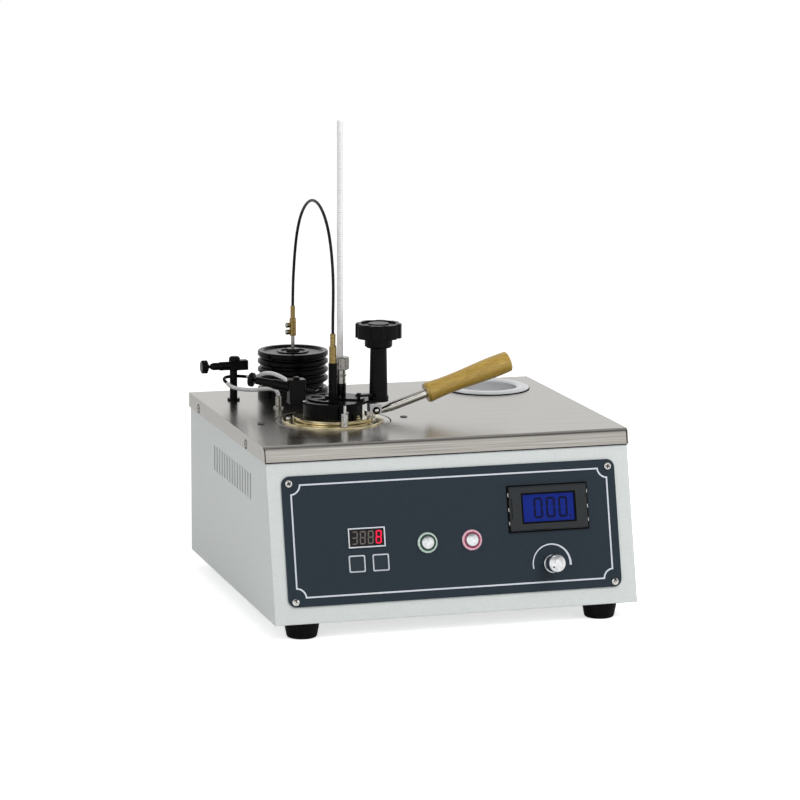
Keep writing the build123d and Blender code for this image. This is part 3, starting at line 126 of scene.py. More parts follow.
# Finishes, each named for what the real one is made of, and one flat black for painted shade
materials = {
    # Thick baked powder: a faint orange peel and a soft sheen
    "casePaint": finish("Powder-coated sheet steel", "#d1d6d5", "#dbe0df",
                        {"IOR": 1.5, "Specular IOR Level": 0.35}, (1.6, 1.6, 1.6), (0.34, 0.44), bump=0.012,
                        edgeMm=1.2),
    # Fine straight scratches across the cover stretch each reflection towards the front
    "coverSteel": finish("Brushed stainless steel", "#918e88", "#b5b2ad", {"Metallic": 1.0}, (90, 0.9, 0.9),
                         (0.16, 0.3), bump=0.006, edgeMm=0.5, contrast=(0.25, 0.75)),
    # Satin film with the dark slate colour printed behind it
    "panelFilm": finish("Screen-printed panel film", "#252e36", "#2b353e",
                        {"IOR": 1.49, "Specular IOR Level": 0.14}, (0.8, 0.8, 0.8), (0.34, 0.44),
                        bump=0.008, edgeMm=0.5),
    "printWhite": finish("White screen print", "#c9d0d8", "#e2e7ec",
                         {"IOR": 1.49, "Specular IOR Level": 0.2}, (0.6, 0.6, 0.6), (0.4, 0.5)),
    # Stoved enamel, near black, with a tight highlight
    "blackEnamel": finish("Black enamelled steel", "#050506", "#0a0a0b",
                          {"IOR": 1.5, "Specular IOR Level": 0.08}, (1.0, 1.0, 1.0), (0.13, 0.24),
                          bump=0.01, edgeMm=0.5),
    "bakelite": finish("Moulded black phenolic", "#060607", "#0d0e10",
                       {"IOR": 1.6, "Specular IOR Level": 0.07}, (3.0, 3.0, 3.0), (0.2, 0.32), bump=0.02,
                       edgeMm=0.6),
    "abs": finish("Moulded black ABS", "#1c2023", "#25292c", {"IOR": 1.53, "Specular IOR Level": 0.25},
                  (0.5, 0.5, 0.5), (0.24, 0.34), bump=0.015, edgeMm=0.5),
    # Flat near-black: painted shade and shadow in gaps, recesses, round screws and under edges, and the dark
    # seams at the cover's corners
    "blackShadeAndSeams": finish("Black for painted shade and corner seams", "#050506", "#0a0a0b",
                     {"IOR": 1.5, "Specular IOR Level": 0.05}, (0.6, 0.6, 0.6), (0.5, 0.6)),
    "keyFilm": finish("Matt key film", "#262f37", "#2e3840", {"IOR": 1.49, "Specular IOR Level": 0.2},
                      (0.8, 0.8, 0.8), (0.42, 0.5), edgeMm=0.4),
    "rubberFoot": finish("Moulded black rubber", "#08080a", "#101012",
                         {"IOR": 1.5, "Specular IOR Level": 0.06}, (1.4, 1.4, 1.4), (0.5, 0.66), bump=0.05,
                         edgeMm=1.0),
    # Lathe rings and a little tarnish keep the brass from looking gilded
    "brass": finish("Turned yellow brass", "#665431", "#ab9662", {"Metallic": 1.0}, (7, 7, 0.7),
                    (0.16, 0.3), bump=0.008, edgeMm=0.4),
    # The heated ring and the cup's rim are scoured bright in places and dull olive in others
    "scouredBrass": finish("Scoured brass", "#7b7050", "#ded2ae", {"Metallic": 1.0}, (20, 20, 3.0),
                           (0.1, 0.22), bump=0.006, edgeMm=0.4, detail=2.0, contrast=(0.3, 0.66)),
    "chrome": finish("Polished chrome plate", "#a9a9aa", "#d8d8d8", {"Metallic": 1.0}, (8, 8, 8),
                     (0.05, 0.12), edgeMm=0.4),
    "zinc": finish("Zinc-plated screw steel", "#9b9a96", "#e0dfdc", {"Metallic": 1.0}, (1.6, 1.6, 1.6),
                   (0.14, 0.26), bump=0.02, edgeMm=0.4),
    "drawnSteel": finish("Drawn steel rod", "#9b9993", "#e8e5de", {"Metallic": 1.0}, (80, 1.4, 1.4),
                         (0.06, 0.14), turn=(0, -handleTilt, 0), edgeMm=0.3, contrast=(0.38, 0.62)),
    "steel": finish("Turned mild steel", "#86837e", "#b3b0aa", {"Metallic": 1.0}, (3, 3, 0.6), (0.2, 0.34),
                    bump=0.01, edgeMm=0.3),
    "aluminium": finish("Turned aluminium", "#aeb3b8", "#d9dde0", {"Metallic": 1.0}, (2.5, 2.5, 2.5),
                        (0.16, 0.3), bump=0.006, edgeMm=0.4),
    "blackOxide": finish("Blackened screw steel", "#262626", "#3a3a39", {"Metallic": 0.5}, (1.6, 1.6, 1.6),
                         (0.3, 0.4), edgeMm=0.3),
    "castGrey": finish("Spun aluminium", "#cdced0", "#e6e7e9", {"Metallic": 0.75}, (14, 14, 0.8),
                       (0.3, 0.42), edgeMm=0.8),
    # Straight fine grain under a coat of amber varnish
    "beech": finish("Varnished beech", "#94742a", "#cba94a",
                    {"IOR": 1.5, "Coat Weight": 0.8, "Coat Roughness": 0.18, "Specular IOR Level": 0.3},
                    (9, 0.8, 0.8), (0.3, 0.42), bump=0.015, turn=(0, -handleTilt, 0), detail=5.0,
                    contrast=(0.28, 0.74)),
    "silicone": finish("Silicone hose", "#bdbebd", "#dcdddc",
                       {"IOR": 1.41, "Subsurface Weight": 0.2, "Subsurface Radius": (0.002, 0.002, 0.002)},
                       (2, 2, 2), (0.2, 0.3)),
    "shaftSheath": finish("Black rubber sheath", "#080808", "#131313",
                          {"IOR": 1.5, "Specular IOR Level": 0.2}, (2, 2, 2), (0.35, 0.5), bump=0.02),
    "mica": finish("Mica and steel band", "#57534b", "#6f6a60", {"Metallic": 0.6}, (2, 2, 2), (0.5, 0.6)),
    "boardGreen": finish("Glass-fibre circuit board", "#0e3a20", "#14502c", {"IOR": 1.5}, (1, 1, 1),
                         (0.4, 0.5)),
    "castIron": finish("Blackened cast iron", "#141312", "#222120", {"Metallic": 0.7}, (1.5, 1.5, 1.5),
                       (0.5, 0.66), bump=0.06, edgeMm=0.6),
    "greenRing": finish("Pale green anodised ring", "#9db5aa", "#cfdcd6", {"Metallic": 0.5},
                        (1.6, 1.6, 1.6), (0.2, 0.34), edgeMm=0.4),
    "redRing": finish("Pale red anodised ring", "#cf93a3", "#ecccd4", {"Metallic": 0.4}, (1.6, 1.6, 1.6),
                      (0.2, 0.34), edgeMm=0.4),
    "greenLens": finish("Dark green light ring", "#1d3a2f", "#2c4f40",
                        {"IOR": 1.5, "Specular IOR Level": 0.2}, (1.0, 1.0, 1.0), (0.2, 0.3)),
    "redLens": finish("Dark red light ring", "#8a2f4a", "#a8486a", {"IOR": 1.5, "Specular IOR Level": 0.2},
                      (1.0, 1.0, 1.0), (0.2, 0.3)),
    # Fine turning marks spread each lamp's reflection into two opposite fans
    "turnedFace": finish("Face-turned aluminium", "#c6c8ca", "#eceeef",
                         {"Metallic": 1.0, "Anisotropic": 0.75}, (3, 3, 3), (0.2, 0.28)),
    "ledWindow": finish("Smoked LED window", "#0c080a", "#140c10", {"IOR": 1.5, "Specular IOR Level": 0.2},
                        (2, 2, 2), (0.12, 0.2)),
    "segmentGhost": finish("Unlit segment", "#5f5b58", "#77736f", {"IOR": 1.5, "Specular IOR Level": 0.1},
                           (1, 1, 1), (0.4, 0.5)),
    "lcdInk": finish("LCD segment", "#060a28", "#0a1034", {"IOR": 1.5, "Specular IOR Level": 0.1},
                     (1, 1, 1), (0.3, 0.4)),
    "markInk": finish("Etched scale ink", "#8c8c8c", "#a6a6a6", {"IOR": 1.5}, (1, 1, 1), (0.5, 0.6)),
    # Black of the knob's dot, also used as painted shade in the screws' cross recesses
    "blackInkAndShade": finish("Black dot ink and painted recess shade", "#0a0a0b", "#141416", {"IOR": 1.5}, (1, 1, 1), (0.3, 0.4)),
    "milkGlass": finish("Opal glass strip", "#e4e4e3", "#f0f0ef", {"IOR": 1.5}, (4, 4, 4), (0.2, 0.3)),
    "lcdBlue": glow("Backlit LCD", "#1a34b0", 0.16, "#0d1f66"),
    "segmentRed": glow("Lit red segment", "#ff2748", 0.9, "#c01030"),
}
# Opal-backed tube: almost white, with a hard shine
tubeGlass = {"Base Color": linearColour("#ffffff"), "Roughness": 0.06, "IOR": 1.47,
             "Transmission Weight": 0.05}
materials["glass"] = blankMaterial("Borosilicate glass", tubeGlass)[0]

# Turning marks of a flat face run round its middle
turnedTree = materials["turnedFace"].node_tree
turning = addNode(turnedTree, "ShaderNodeTangent", {"direction_type": "RADIAL", "axis": "Y"})
turnedSurface = [n for n in turnedTree.nodes if n.type == "BSDF_PRINCIPLED"][0]
turnedTree.links.new(turning.outputs["Tangent"], turnedSurface.inputs["Tangent"])

# Painted light: the well's inside is painted paler than its ring, and paler with depth, for the light on its
# inner wall
wellTree = materials["castGrey"].node_tree
wellTint = [n for n in wellTree.nodes if n.type == "VALTORGB"][0]
wellSurface = [n for n in wellTree.nodes if n.type == "BSDF_PRINCIPLED"][0]
wellPlace = addNode(wellTree, "ShaderNodeSeparateXYZ", None,
                    {"Vector": addNode(wellTree, "ShaderNodeTexCoord").outputs["Object"]})
wellPaintedLightFade = addNode(wellTree, "ShaderNodeMapRange", {"From Min": 0.1805, "From Max": 0.172},
                    {"Value": wellPlace.outputs["Z"]})
# The pale colour is painted light, mixed in from just below the cover's surface downwards
wellPaintedLight = addNode(wellTree, "ShaderNodeMixRGB", {"Color2": linearColour("#f4f5f6")},
                  {"Fac": wellPaintedLightFade.outputs["Result"], "Color1": wellTint.outputs["Color"]})
wellTree.links.new(wellPaintedLight.outputs["Color"], wellSurface.inputs["Base Color"])
print("materials made")

nodeFinish = {
    "casePaint": ["case_shell"],
    "coverSteel": ["top_cover", "stove_trim"],
    "panelFilm": ["front_panel"],
    "zinc": ["case_screws", "locating_post"],
    "blackOxide": ["stove_screws"],
    "chrome": ["button_left", "button_right", "handle_bracket"],
    "drawnSteel": ["handle_rod"],
    "rubberFoot": ["feet"],
    "ledWindow": ["led_display"],
    "keyFilm": ["key_left", "key_right"],
    "greenRing": ["button_ring_left"],
    "redRing": ["button_ring_right"],
    "abs": ["meter_bezel", "power_inlet", "fuse_holder"],
    "lcdBlue": ["meter_lcd"],
    "steel": ["plate_nipple", "potentiometer", "motor_spindle", "stirrer", "thermometer_ferrule"],
    "aluminium": ["pot_knob"],
    "brass": ["gas_inlet", "gas_pipe", "stirrer_coupling", "drive_coupling"],
    "scouredBrass": ["stove_plate", "cup"],
    "boardGreen": ["control_board"],
    "castIron": ["transformer", "air_bath"],
    "mica": ["heater_band"],
    "castGrey": ["storage_well"],
    "blackEnamel": ["motor_housing", "motor_cap", "gas_post", "gas_valve_body", "post_valve_knob", "gas_tube",
                    "lid_rim", "lid_cover", "stirrer_housing", "thermometer_socket", "shutter",
                    "burner_block", "igniter_tube", "burner_valve_knob"],
    "bakelite": ["knob_post", "shutter_knob"],
    "beech": ["handle_grip"],
    "silicone": ["supply_hose", "hose_post_side", "hose_lid_side"],
    "shaftSheath": ["flexible_shaft"],
    "glass": ["thermometer"],
}
for key, names in nodeFinish.items():
    for name in names:
        nodes[name].data.materials.clear()
        nodes[name].data.materials.append(materials[key])
unfinished = set(nodes) - {n for names in nodeFinish.values() for n in names}
print("CAD nodes without a finish:", sorted(unfinished))


# Takes a bmesh or a mesh that is already in its place in metres
def newPiece(name, mesh, key, body, smooth=False):
    if isinstance(mesh, bmesh.types.BMesh):
        made = bpy.data.meshes.new(name)
        mesh.to_mesh(made)
        mesh.free()
        mesh = made
    piece = bpy.data.objects.new(name, mesh)
    bpy.context.scene.collection.objects.link(piece)
    mesh.materials.clear()
    mesh.materials.append(materials[key])
    for face in mesh.polygons:
        face.use_smooth = smooth
    if body:
        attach(piece, body)
    return piece


# The sloping front face: x to the right, up the slope, and outwards
slope = math.atan2(case["frontOut"], case["height"])
faceTop = Matrix.Translation(metres(0, -case["depth"] / 2, 0))
faceMatrix = faceTop @ Matrix.Rotation(math.pi / 2 - slope, 4, "X")


# Moves a mesh drawn in millimetres round the origin onto the front face
def onFace(mesh, x, down, out):
    bmesh.ops.transform(mesh, matrix=Matrix.Scale(0.001, 4), verts=mesh.verts)
    shift = faceMatrix @ Matrix.Translation(Vector((x, -down, out)) / 1000)
    bmesh.ops.transform(mesh, matrix=shift, verts=mesh.verts)
    return mesh


# Gives every face of a flat mesh its thickness
def thicken(mesh, thick):
    raised = bmesh.ops.extrude_face_region(mesh, geom=mesh.faces[:])["geom"]
    raised = [part for part in raised if isinstance(part, bmesh.types.BMVert)]
    bmesh.ops.translate(mesh, vec=(0, 0, thick), verts=raised)
    bmesh.ops.recalc_face_normals(mesh, faces=mesh.faces)
    return mesh


# A flat rectangle, with round corners where a corner radius is given
def rectangle(width, height, corner=0.0):
    mesh = bmesh.new()
    bmesh.ops.create_grid(mesh, x_segments=1, y_segments=1, size=0.5)
    bmesh.ops.scale(mesh, vec=(width, height, 1), verts=mesh.verts)
    if corner:
        bmesh.ops.bevel(mesh, geom=mesh.verts[:], offset=corner, affect="VERTICES", segments=4, profile=0.5,
                        material=-1)
    return mesh


# Leaves a line of that width just inside the outline of a mesh with one flat face
def outlineStrip(mesh, width, thick):
    sheet = mesh.faces[:][0]
    mesh.normal_update()
    bmesh.ops.inset_region(mesh, faces=[sheet], thickness=width, use_even_offset=True, use_boundary=True)
    bmesh.ops.delete(mesh, geom=[sheet], context="FACES_ONLY")
    return thicken(mesh, thick)


# Sweeps the edge between two points of (radius, z) round the z axis, from and through angles in degrees
def sweptEdge(mesh, lower, upper, start, sweep, steps):
    ends = [mesh.verts.new((radius, 0, z)) for radius, z in (lower, upper)]
    edge = mesh.edges.new(ends)
    bmesh.ops.rotate(mesh, cent=(0, 0, 0), matrix=Matrix.Rotation(math.radians(start), 3, "Z"), verts=ends)
    bmesh.ops.spin(mesh, geom=ends + [edge], cent=(0, 0, 0), axis=(0, 0, 1), angle=math.radians(sweep),
                   steps=steps)


# The printed border: a rectangle with a round bite out of each corner
border = {"x": -0.5, "down": 90.8, "width": 318.0, "height": 108.0, "bite": 9.0, "line": 1.5, "thick": 0.12}
mesh = bmesh.new()
starts, stops = [], []
for sideX, sideY, toStart in ((1, 1, (-1, 0)), (1, -1, (0, 1)), (-1, -1, (1, 0)), (-1, 1, (0, -1))):
    corner = Vector((sideX * border["width"] / 2, sideY * border["height"] / 2, 0))
    starts.append(mesh.verts.new(corner + Vector((*toStart, 0)) * border["bite"]))
    bitten = bmesh.ops.spin(mesh, geom=starts[-1:], cent=corner, axis=(0, 0, 1), angle=math.pi / 2, steps=8)
    stops.append(bitten["geom_last"][0])
for stop, start in zip(stops, starts[1:] + starts[:1]):
    mesh.edges.new((stop, start))
bmesh.ops.contextual_create(mesh, geom=mesh.edges[:])
strip = onFace(outlineStrip(mesh, border["line"], border["thick"]), border["x"], border["down"], 0.0)
newPiece("panelBorder", strip, "printWhite", "base")

keyFrames = {"x": (-98.1, -74.6), "down": 115.2, "side": 16.2, "corner": 1.5, "line": 1.3, "thick": 0.12}
for side, x in zip(("Left", "Right"), keyFrames["x"]):
    sheet = rectangle(keyFrames["side"], keyFrames["side"], keyFrames["corner"])
    strip = onFace(outlineStrip(sheet, keyFrames["line"], keyFrames["thick"]), x, keyFrames["down"], 0.0)
    newPiece("keyOutline" + side, strip, "printWhite", "base")

ledFrame = {"x": -87.4, "down": 90.7, "width": 36.5, "height": 19.0, "line": 1.2, "thick": 0.5, "out": 0.6}
strip = outlineStrip(rectangle(ledFrame["width"], ledFrame["height"]), ledFrame["line"], ledFrame["thick"])
strip = onFace(strip, ledFrame["x"], ledFrame["down"], ledFrame["out"])
newPiece("ledFrame", strip, "printWhite", "base")

# The dial's arc grows wider towards its right end
dialArc = {"x": 96.1, "down": 126.8, "radius": 18.25, "line": 1.1, "wide": 2.2, "start": -6, "sweep": 198,
           "steps": 44, "fade": (-10, 180), "thick": 0.12}
mesh = bmesh.new()
inner = dialArc["radius"]
outer = inner + dialArc["line"]
sweptEdge(mesh, (inner, 0), (outer, 0), dialArc["start"], dialArc["sweep"], dialArc["steps"])
fadeStart, fadeStop = dialArc["fade"]
for vert in mesh.verts:
    if vert.co.length > (inner + outer) / 2:
        angle = (math.degrees(math.atan2(vert.co.y, vert.co.x)) + 90) % 360 - 90
        share = 1 - min(max((angle - fadeStart) / (fadeStop - fadeStart), 0), 1)
        width = dialArc["line"] + (dialArc["wide"] - dialArc["line"]) * share ** 2
        vert.co *= (inner + width) / vert.co.length
strip = onFace(thicken(mesh, dialArc["thick"]), dialArc["x"], dialArc["down"], 0.0)
newPiece("dialArc", strip, "printWhite", "base")
print("panel printing made")


# Adds the named segments of a seven-segment digit, centred at x
def digit(mesh, x, size, segments, lean=0.0):
    width, height, bar = size["width"], size["height"], size["bar"]
    half, quarter = width / 2, height / 4
    spots = {"a": (0, height / 2, 0), "g": (0, 0, 0), "d": (0, -height / 2, 0), "f": (-half, quarter, 1),
             "b": (half, quarter, 1), "e": (-half, -quarter, 1), "c": (half, -quarter, 1)}
    for key in segments:
        sx, sy, upright = spots[key]
        long = (height / 2 if upright else width) - bar * size["open"]
        made = bmesh.ops.create_grid(mesh, x_segments=1, y_segments=1, size=0.5)["verts"]
        bmesh.ops.scale(mesh, vec=(bar, long, 1) if upright else (long, bar, 1), verts=made)
        bmesh.ops.translate(mesh, vec=(x + sx + lean * sy, sy, 0), verts=made)


ledDigits = {"x": -87.4, "down": 90.7, "pitch": 7.9, "width": 4.6, "height": 11.4, "bar": 1.25, "open": 0.35,
             "out": 0.75, "lean": 0.08, "shown": ("abcdg", "abcdefg", "abcdefg", "abcdefg")}
ghost, lit = bmesh.new(), bmesh.new()
for step, segments in enumerate(ledDigits["shown"]):
    x = (step - 1.5) * ledDigits["pitch"]
    digit(lit if step == 3 else ghost, x, ledDigits, segments, ledDigits["lean"])
for name, mesh, key in (("ledDigitsUnlit", ghost, "segmentGhost"), ("ledDigitLit", lit, "segmentRed")):
    newPiece(name, onFace(mesh, ledDigits["x"], ledDigits["down"], ledDigits["out"]), key, "base")
lcdDigits = {"x": 98.0, "down": 72.3, "pitch": 12.6, "width": 7.2, "height": 18.0, "bar": 2.1, "open": 0.35,
             "out": 2.35, "dot": 1.0}
ink = bmesh.new()
for step in range(3):
    digit(ink, (step - 1) * lcdDigits["pitch"], lcdDigits, "abcdef")
dot = bmesh.ops.create_circle(ink, cap_ends=True, segments=16, radius=lcdDigits["dot"])["verts"]
dotX = lcdDigits["pitch"] * 1.5 + lcdDigits["dot"]
bmesh.ops.translate(ink, vec=(dotX, -lcdDigits["height"] / 2, 0), verts=dot)
ink = onFace(ink, lcdDigits["x"], lcdDigits["down"], lcdDigits["out"])
newPiece("lcdDigits", ink, "lcdInk", "base")
print("digits made")


# A NURBS curve with the route's points as its control points, in millimetres on the cover
def curvePiece(name, points, radius, key):
    data = bpy.data.curves.new(name, "CURVE")
    data.dimensions = "3D"
    line = data.splines.new("NURBS")
    line.points.add(len(points) - 1)
    for point, spot in zip(line.points, points):
        point.co = (*metres(*spot), 1.0)
    line.order_u = 3
    line.use_endpoint_u = True
    line.resolution_u = 12
    data.bevel_depth = radius / 1000
    data.bevel_resolution = 6
    data.use_fill_caps = True
    data.materials.append(materials[key])
    piece = bpy.data.objects.new(name, data)
    bpy.context.scene.collection.objects.link(piece)
    return piece


# The curve's tube as a mesh object, and the points that it follows
def tubeFromCurve(piece):
    bpy.context.view_layer.update()
    depth = piece.data.bevel_depth
    piece.data.bevel_depth = 0
    line = bpy.data.meshes.new_from_object(piece.evaluated_get(bpy.context.evaluated_depsgraph_get()))
    path = [tuple(v.co) for v in line.vertices]
    piece.data.bevel_depth = depth
    bpy.context.view_layer.update()
    tube = bpy.data.meshes.new_from_object(piece.evaluated_get(bpy.context.evaluated_depsgraph_get()))
    name = piece.name
    bpy.data.objects.remove(piece)
    made = newPiece(name, tube, "silicone", None, smooth=True)
    return made, path


hoses = {"radius": 2.0}
supplyRoute = [(-157.2, 91.0, 18.5), (-156.4, 84.0, 16.6), (-150.4, 76.4, 15.4), (-143.2, 68.2, 15.2),
               (-135.6, 60.2, 16.2), (-128.4, 52.8, 18.3), (-122.0, 46.9, 19.2), (-117.6, 43.3, 17.2),
               (-116.9, 42.7, 12.5)]
supplyHose = curvePiece("supplyHose", supplyRoute, hoses["radius"], "silicone")
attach(supplyHose, "base")
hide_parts("supply_hose")
postRoute = [(-134.0, 98.5, 23.0), (-133.2, 91.0, 23.4), (-133.2, 80.0, 25.2), (-133.4, 68.0, 28.2),
             (-132.8, 56.0, 31.8)]
postHose, postPath = tubeFromCurve(curvePiece("burnerHosePostSide", postRoute, hoses["radius"], "silicone"))
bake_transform(postHose)
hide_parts("hose_post_side")
lidRoute = [(-132.8, 56.0, 31.8), (-132.2, 44.0, 35.4), (-130.6, 31.0, 38.2), (-128.9, 17.5, 39.7),
            (-126.4, 4.5, 39.6), (-123.2, -6.5, 38.2), (-121.3, -15.0, 36.3), (-123.51, -21.98, 35.07)]
lidHose, lidPath = tubeFromCurve(curvePiece("burnerHoseLidSide", lidRoute, hoses["radius"], "silicone"))
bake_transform(lidHose)
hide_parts("hose_lid_side")
# The drive shaft bends in one upright plane over the stove's middle: (y, z) along it
shaft = {"radius": 1.5,
         "route": [(115.5, 91.6), (115.0, 110.0), (111.5, 130.0), (106.5, 150.0), (98.0, 170.5),
                   (84.0, 188.5), (65.0, 201.5), (43.0, 209.0), (20.0, 209.0), (0.0, 202.5),
                   (-17.0, 190.5), (-28.5, 174.0), (-35.5, 155.0), (-38.6, 136.0), (-38.4, 118.0),
                   (-37.0, 102.0), (-37.0, 86.4)]}
shaftRoute = [(stove["x"], y, z) for y, z in shaft["route"]]
driveShaft = curvePiece("flexibleDriveShaft", shaftRoute, shaft["radius"], "shaftSheath")
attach(driveShaft, "lid")
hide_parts("flexible_shaft")
print("hoses and drive shaft made")


# Spins a profile of (radius, along) about the z axis, in millimetres
def spinProfile(profile, segments):
    mesh = bmesh.new()
    verts = [mesh.verts.new((radius, 0, along)) for radius, along in profile]
    for before, after in zip(verts, verts[1:]):
        mesh.edges.new((before, after))
    bmesh.ops.spin(mesh, geom=mesh.verts[:] + mesh.edges[:], cent=(0, 0, 0), axis=(0, 0, 1),
                   angle=2 * math.pi, steps=segments, use_merge=True)
    bmesh.ops.remove_doubles(mesh, verts=mesh.verts, dist=0.001)
    bmesh.ops.recalc_face_normals(mesh, faces=mesh.faces)
    return mesh


# The same, stood on a point of the object and turned to an axis
def turnedPart(profile, origin, axis, segments):
    mesh = spinProfile(profile, segments)
    bmesh.ops.transform(mesh, matrix=Matrix.Scale(0.001, 4), verts=mesh.verts)
    turn = Vector((0, 0, 1)).rotation_difference(Vector(axis).normalized()).to_matrix().to_4x4()
    bmesh.ops.transform(mesh, matrix=Matrix.Translation(metres(*origin)) @ turn, verts=mesh.verts)
    return mesh


# A rectangular profile for a flat ring
def ringProfile(inner, outer, high):
    return [(inner, 0), (outer, 0), (outer, high), (inner, high), (inner, 0)]


# Small turned fittings, each with its profile, foot, axis, finish, body, slot and steps round
stoveX, stoveY = stove["x"], stove["y"]
up, toFront, toLeft = (0, 0, 1), (0, -1, 0), (-1, 0, 0)
setScrew = [(0, 0), (2.7, 0), (2.7, 1.2), (2.2, 1.6), (1.0, 1.6), (0.9, 1.0), (0, 1.0)]
bracketAt = (stoveX + 43.0, stoveY - 6.2, 8.8)
fittings = {
    "stoveStud": ([(0, 0), (2.4, 0), (2.4, 2.2), (1.9, 2.8), (1.2, 3.0), (0, 3.0)],
                  (stoveX - 43.8, stoveY + 4.5, 1.8), up, "chrome", "base", "chrome", 32),
    "flangeStud": ([(0, 0), (2.6, 0), (2.6, 1.4), (1.6, 1.6), (1.6, 3.6), (1.2, 4.0), (0, 4.0)],
                   (stoveX + 17.5, stoveY - 28.6, 5.4), up, "scouredBrass", "cup", "brass", 32),
    "couplingScrewLower": (setScrew, (stoveX - 5.9, 115.5, 64.5), toLeft, "steel", "drive_coupling",
                           "steel", 32),
    "couplingScrewUpper": (setScrew, (stoveX - 5.9, 115.5, 71.5), toLeft, "steel", "drive_coupling",
                           "steel", 32),
    "blockScrew": ([(0, 0), (3.4, 0), (3.4, 0.8), (2.9, 1.2), (1.0, 1.3), (0.8, 0.7), (0, 0.7)],
                   (stoveX - 37, stoveY, 43.0), up, "blackEnamel", "lid", "black_metal", 32),
    "drumScrew": ([(0, -0.4), (1.8, -0.4), (1.8, 0.8), (1.3, 1.2), (0, 1.2)],
                  (stoveX + 6.2, stoveY - 28.7, 12.0), (0.21, -0.98, 0), "steel", "lid", "steel", 32),
    "lidScrew": ([(0, -0.3), (1.9, -0.3), (1.9, 0.9), (1.4, 1.5), (0.5, 1.7), (0, 1.7)],
                 (stoveX - 31.4, stoveY - 8.5, 21.5), up, "chrome", "lid", "chrome", 32),
    # Round screw across the handle's bracket, on a dark ring of painted shade standing in for its counterbore
    "bracketScrewShade": (ringProfile(2.5, 3.7, 0.4), bracketAt, toFront, "blackShadeAndSeams", "cup", "chrome", 32),
    "bracketScrew": ([(0, 0), (2.5, 0), (2.5, 0.6), (1.8, 1.3), (0, 1.6)],
                     bracketAt, toFront, "chrome", "cup", "chrome", 32),
    # Painted shade: a dark ring in the gap round the stove's trim ring, and a painted shadow under the well's
    # flange
    "trimGapShade": (ringProfile(56.7, 57.6, 0.3), (stoveX, stoveY, -0.5), up, "blackShadeAndSeams", "base",
                "black_plastic", 96),
    "wellFlangeShadow": (ringProfile(43.6, 44.7, 0.7), (120.0, 97.0, 0.02), up, "blackShadeAndSeams", "base",
                "black_plastic", 96),
}
for name, (profile, foot, axis, key, body, slot, steps) in fittings.items():
    newPiece(name, turnedPart(profile, foot, axis, steps), key, body, key != "blackShadeAndSeams")

# Dark line of painted shadow below the cover's lip, and the dark seams at its folded corners
lip = {"shadow": (364.0, 0.9, 1.2), "shadowDown": 15.5, "shadowOut": -0.9, "seam": (1.0, 12.4, 0.1),
       "seamX": 181.6, "seamDown": 8.4, "seamOut": 0.03}


def faceBar(size, x, down, out):
    mesh = bmesh.new()
    bar = bmesh.ops.create_cube(mesh, size=1)["verts"]
    bmesh.ops.scale(mesh, vec=size, verts=bar)
    return onFace(mesh, x, down, out)


shadow = faceBar(lip["shadow"], 0, lip["shadowDown"], lip["shadowOut"])
newPiece("lipShadow", shadow, "blackShadeAndSeams", "base")
for name, side in (("Left", -1), ("Right", 1)):
    seam = faceBar(lip["seam"], side * lip["seamX"], lip["seamDown"], lip["seamOut"])
    newPiece("lipSeam" + name, seam, "blackShadeAndSeams", "base")
print("small fittings made")

# Push buttons: a turned cap inside a coloured light ring
buttons = {"Left": {"x": -27.6, "finish": "greenLens", "slot": "green_ring"},
           "Right": {"x": 16.9, "finish": "redLens", "slot": "red_ring"}}
button = {"down": 99.2, "ring": (6.8, 8.1, 0.2), "ringOut": 2.35, "ringSteps": 48, "out": 3.38,
          "profile": [(0, 0), (6.0, 0), (5.7, 0.22), (0, 0.132)]}
for side, one in buttons.items():
    band = spinProfile(ringProfile(*button["ring"]), button["ringSteps"])
    band = onFace(band, one["x"], button["down"], button["ringOut"])
    newPiece("buttonLens" + side, band, one["finish"], "base")
    cap = onFace(spinProfile(button["profile"], button["ringSteps"]), one["x"], button["down"], button["out"])
    newPiece("buttonFace" + side, cap, "turnedFace", "button_" + side.lower(), smooth=True)

# Dial knob: rear flange, narrow neck and a fluted cap with an inlaid dot
knob = {"x": 96.1, "down": 126.8, "out": 0.6,
        "profile": [(0, 0), (8.9, 0), (8.9, 3.4), (8.3, 4.0), (6.4, 4.2), (6.4, 7.6), (8.0, 8.0), (8.6, 8.5),
                    (8.6, 16.3), (8.1, 17.0), (0, 17.0)],
        "flutes": 36, "fluteDepth": 0.3, "fluteFrom": 8.0, "fluteOutside": 8.5,
        "face": [(0, 0), (7.9, 0), (7.8, 0.1), (0, 0.1)], "faceOut": 17.58, "faceSteps": 64,
        "dot": [(0, 0), (1.0, 0), (1.0, 0.1), (0, 0.1)], "dotX": -3.8, "dotDown": 3.6, "dotOut": 17.66,
        "dotSteps": 20}
mesh = spinProfile(knob["profile"], knob["flutes"] * 2)
for vert in mesh.verts:
    radius = math.hypot(vert.co.x, vert.co.y)
    turn = round(math.atan2(vert.co.y, vert.co.x) / math.pi * knob["flutes"])
    if radius > knob["fluteOutside"] and vert.co.z > knob["fluteFrom"] and turn % 2:
        vert.co.xy *= 1 - knob["fluteDepth"] / radius
mesh = onFace(mesh, knob["x"], knob["down"], knob["out"])
body = newPiece("knobBody", mesh, "aluminium", "pot_knob")
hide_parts("pot_knob")
disc = onFace(spinProfile(knob["face"], knob["faceSteps"]), knob["x"], knob["down"], knob["faceOut"])
newPiece("knobFace", disc, "turnedFace", "pot_knob", smooth=True)
dot = spinProfile(knob["dot"], knob["dotSteps"])
dot = onFace(dot, knob["x"] + knob["dotX"], knob["down"] + knob["dotDown"], knob["dotOut"])
newPiece("knobDot", dot, "blackInkAndShade", "pot_knob")
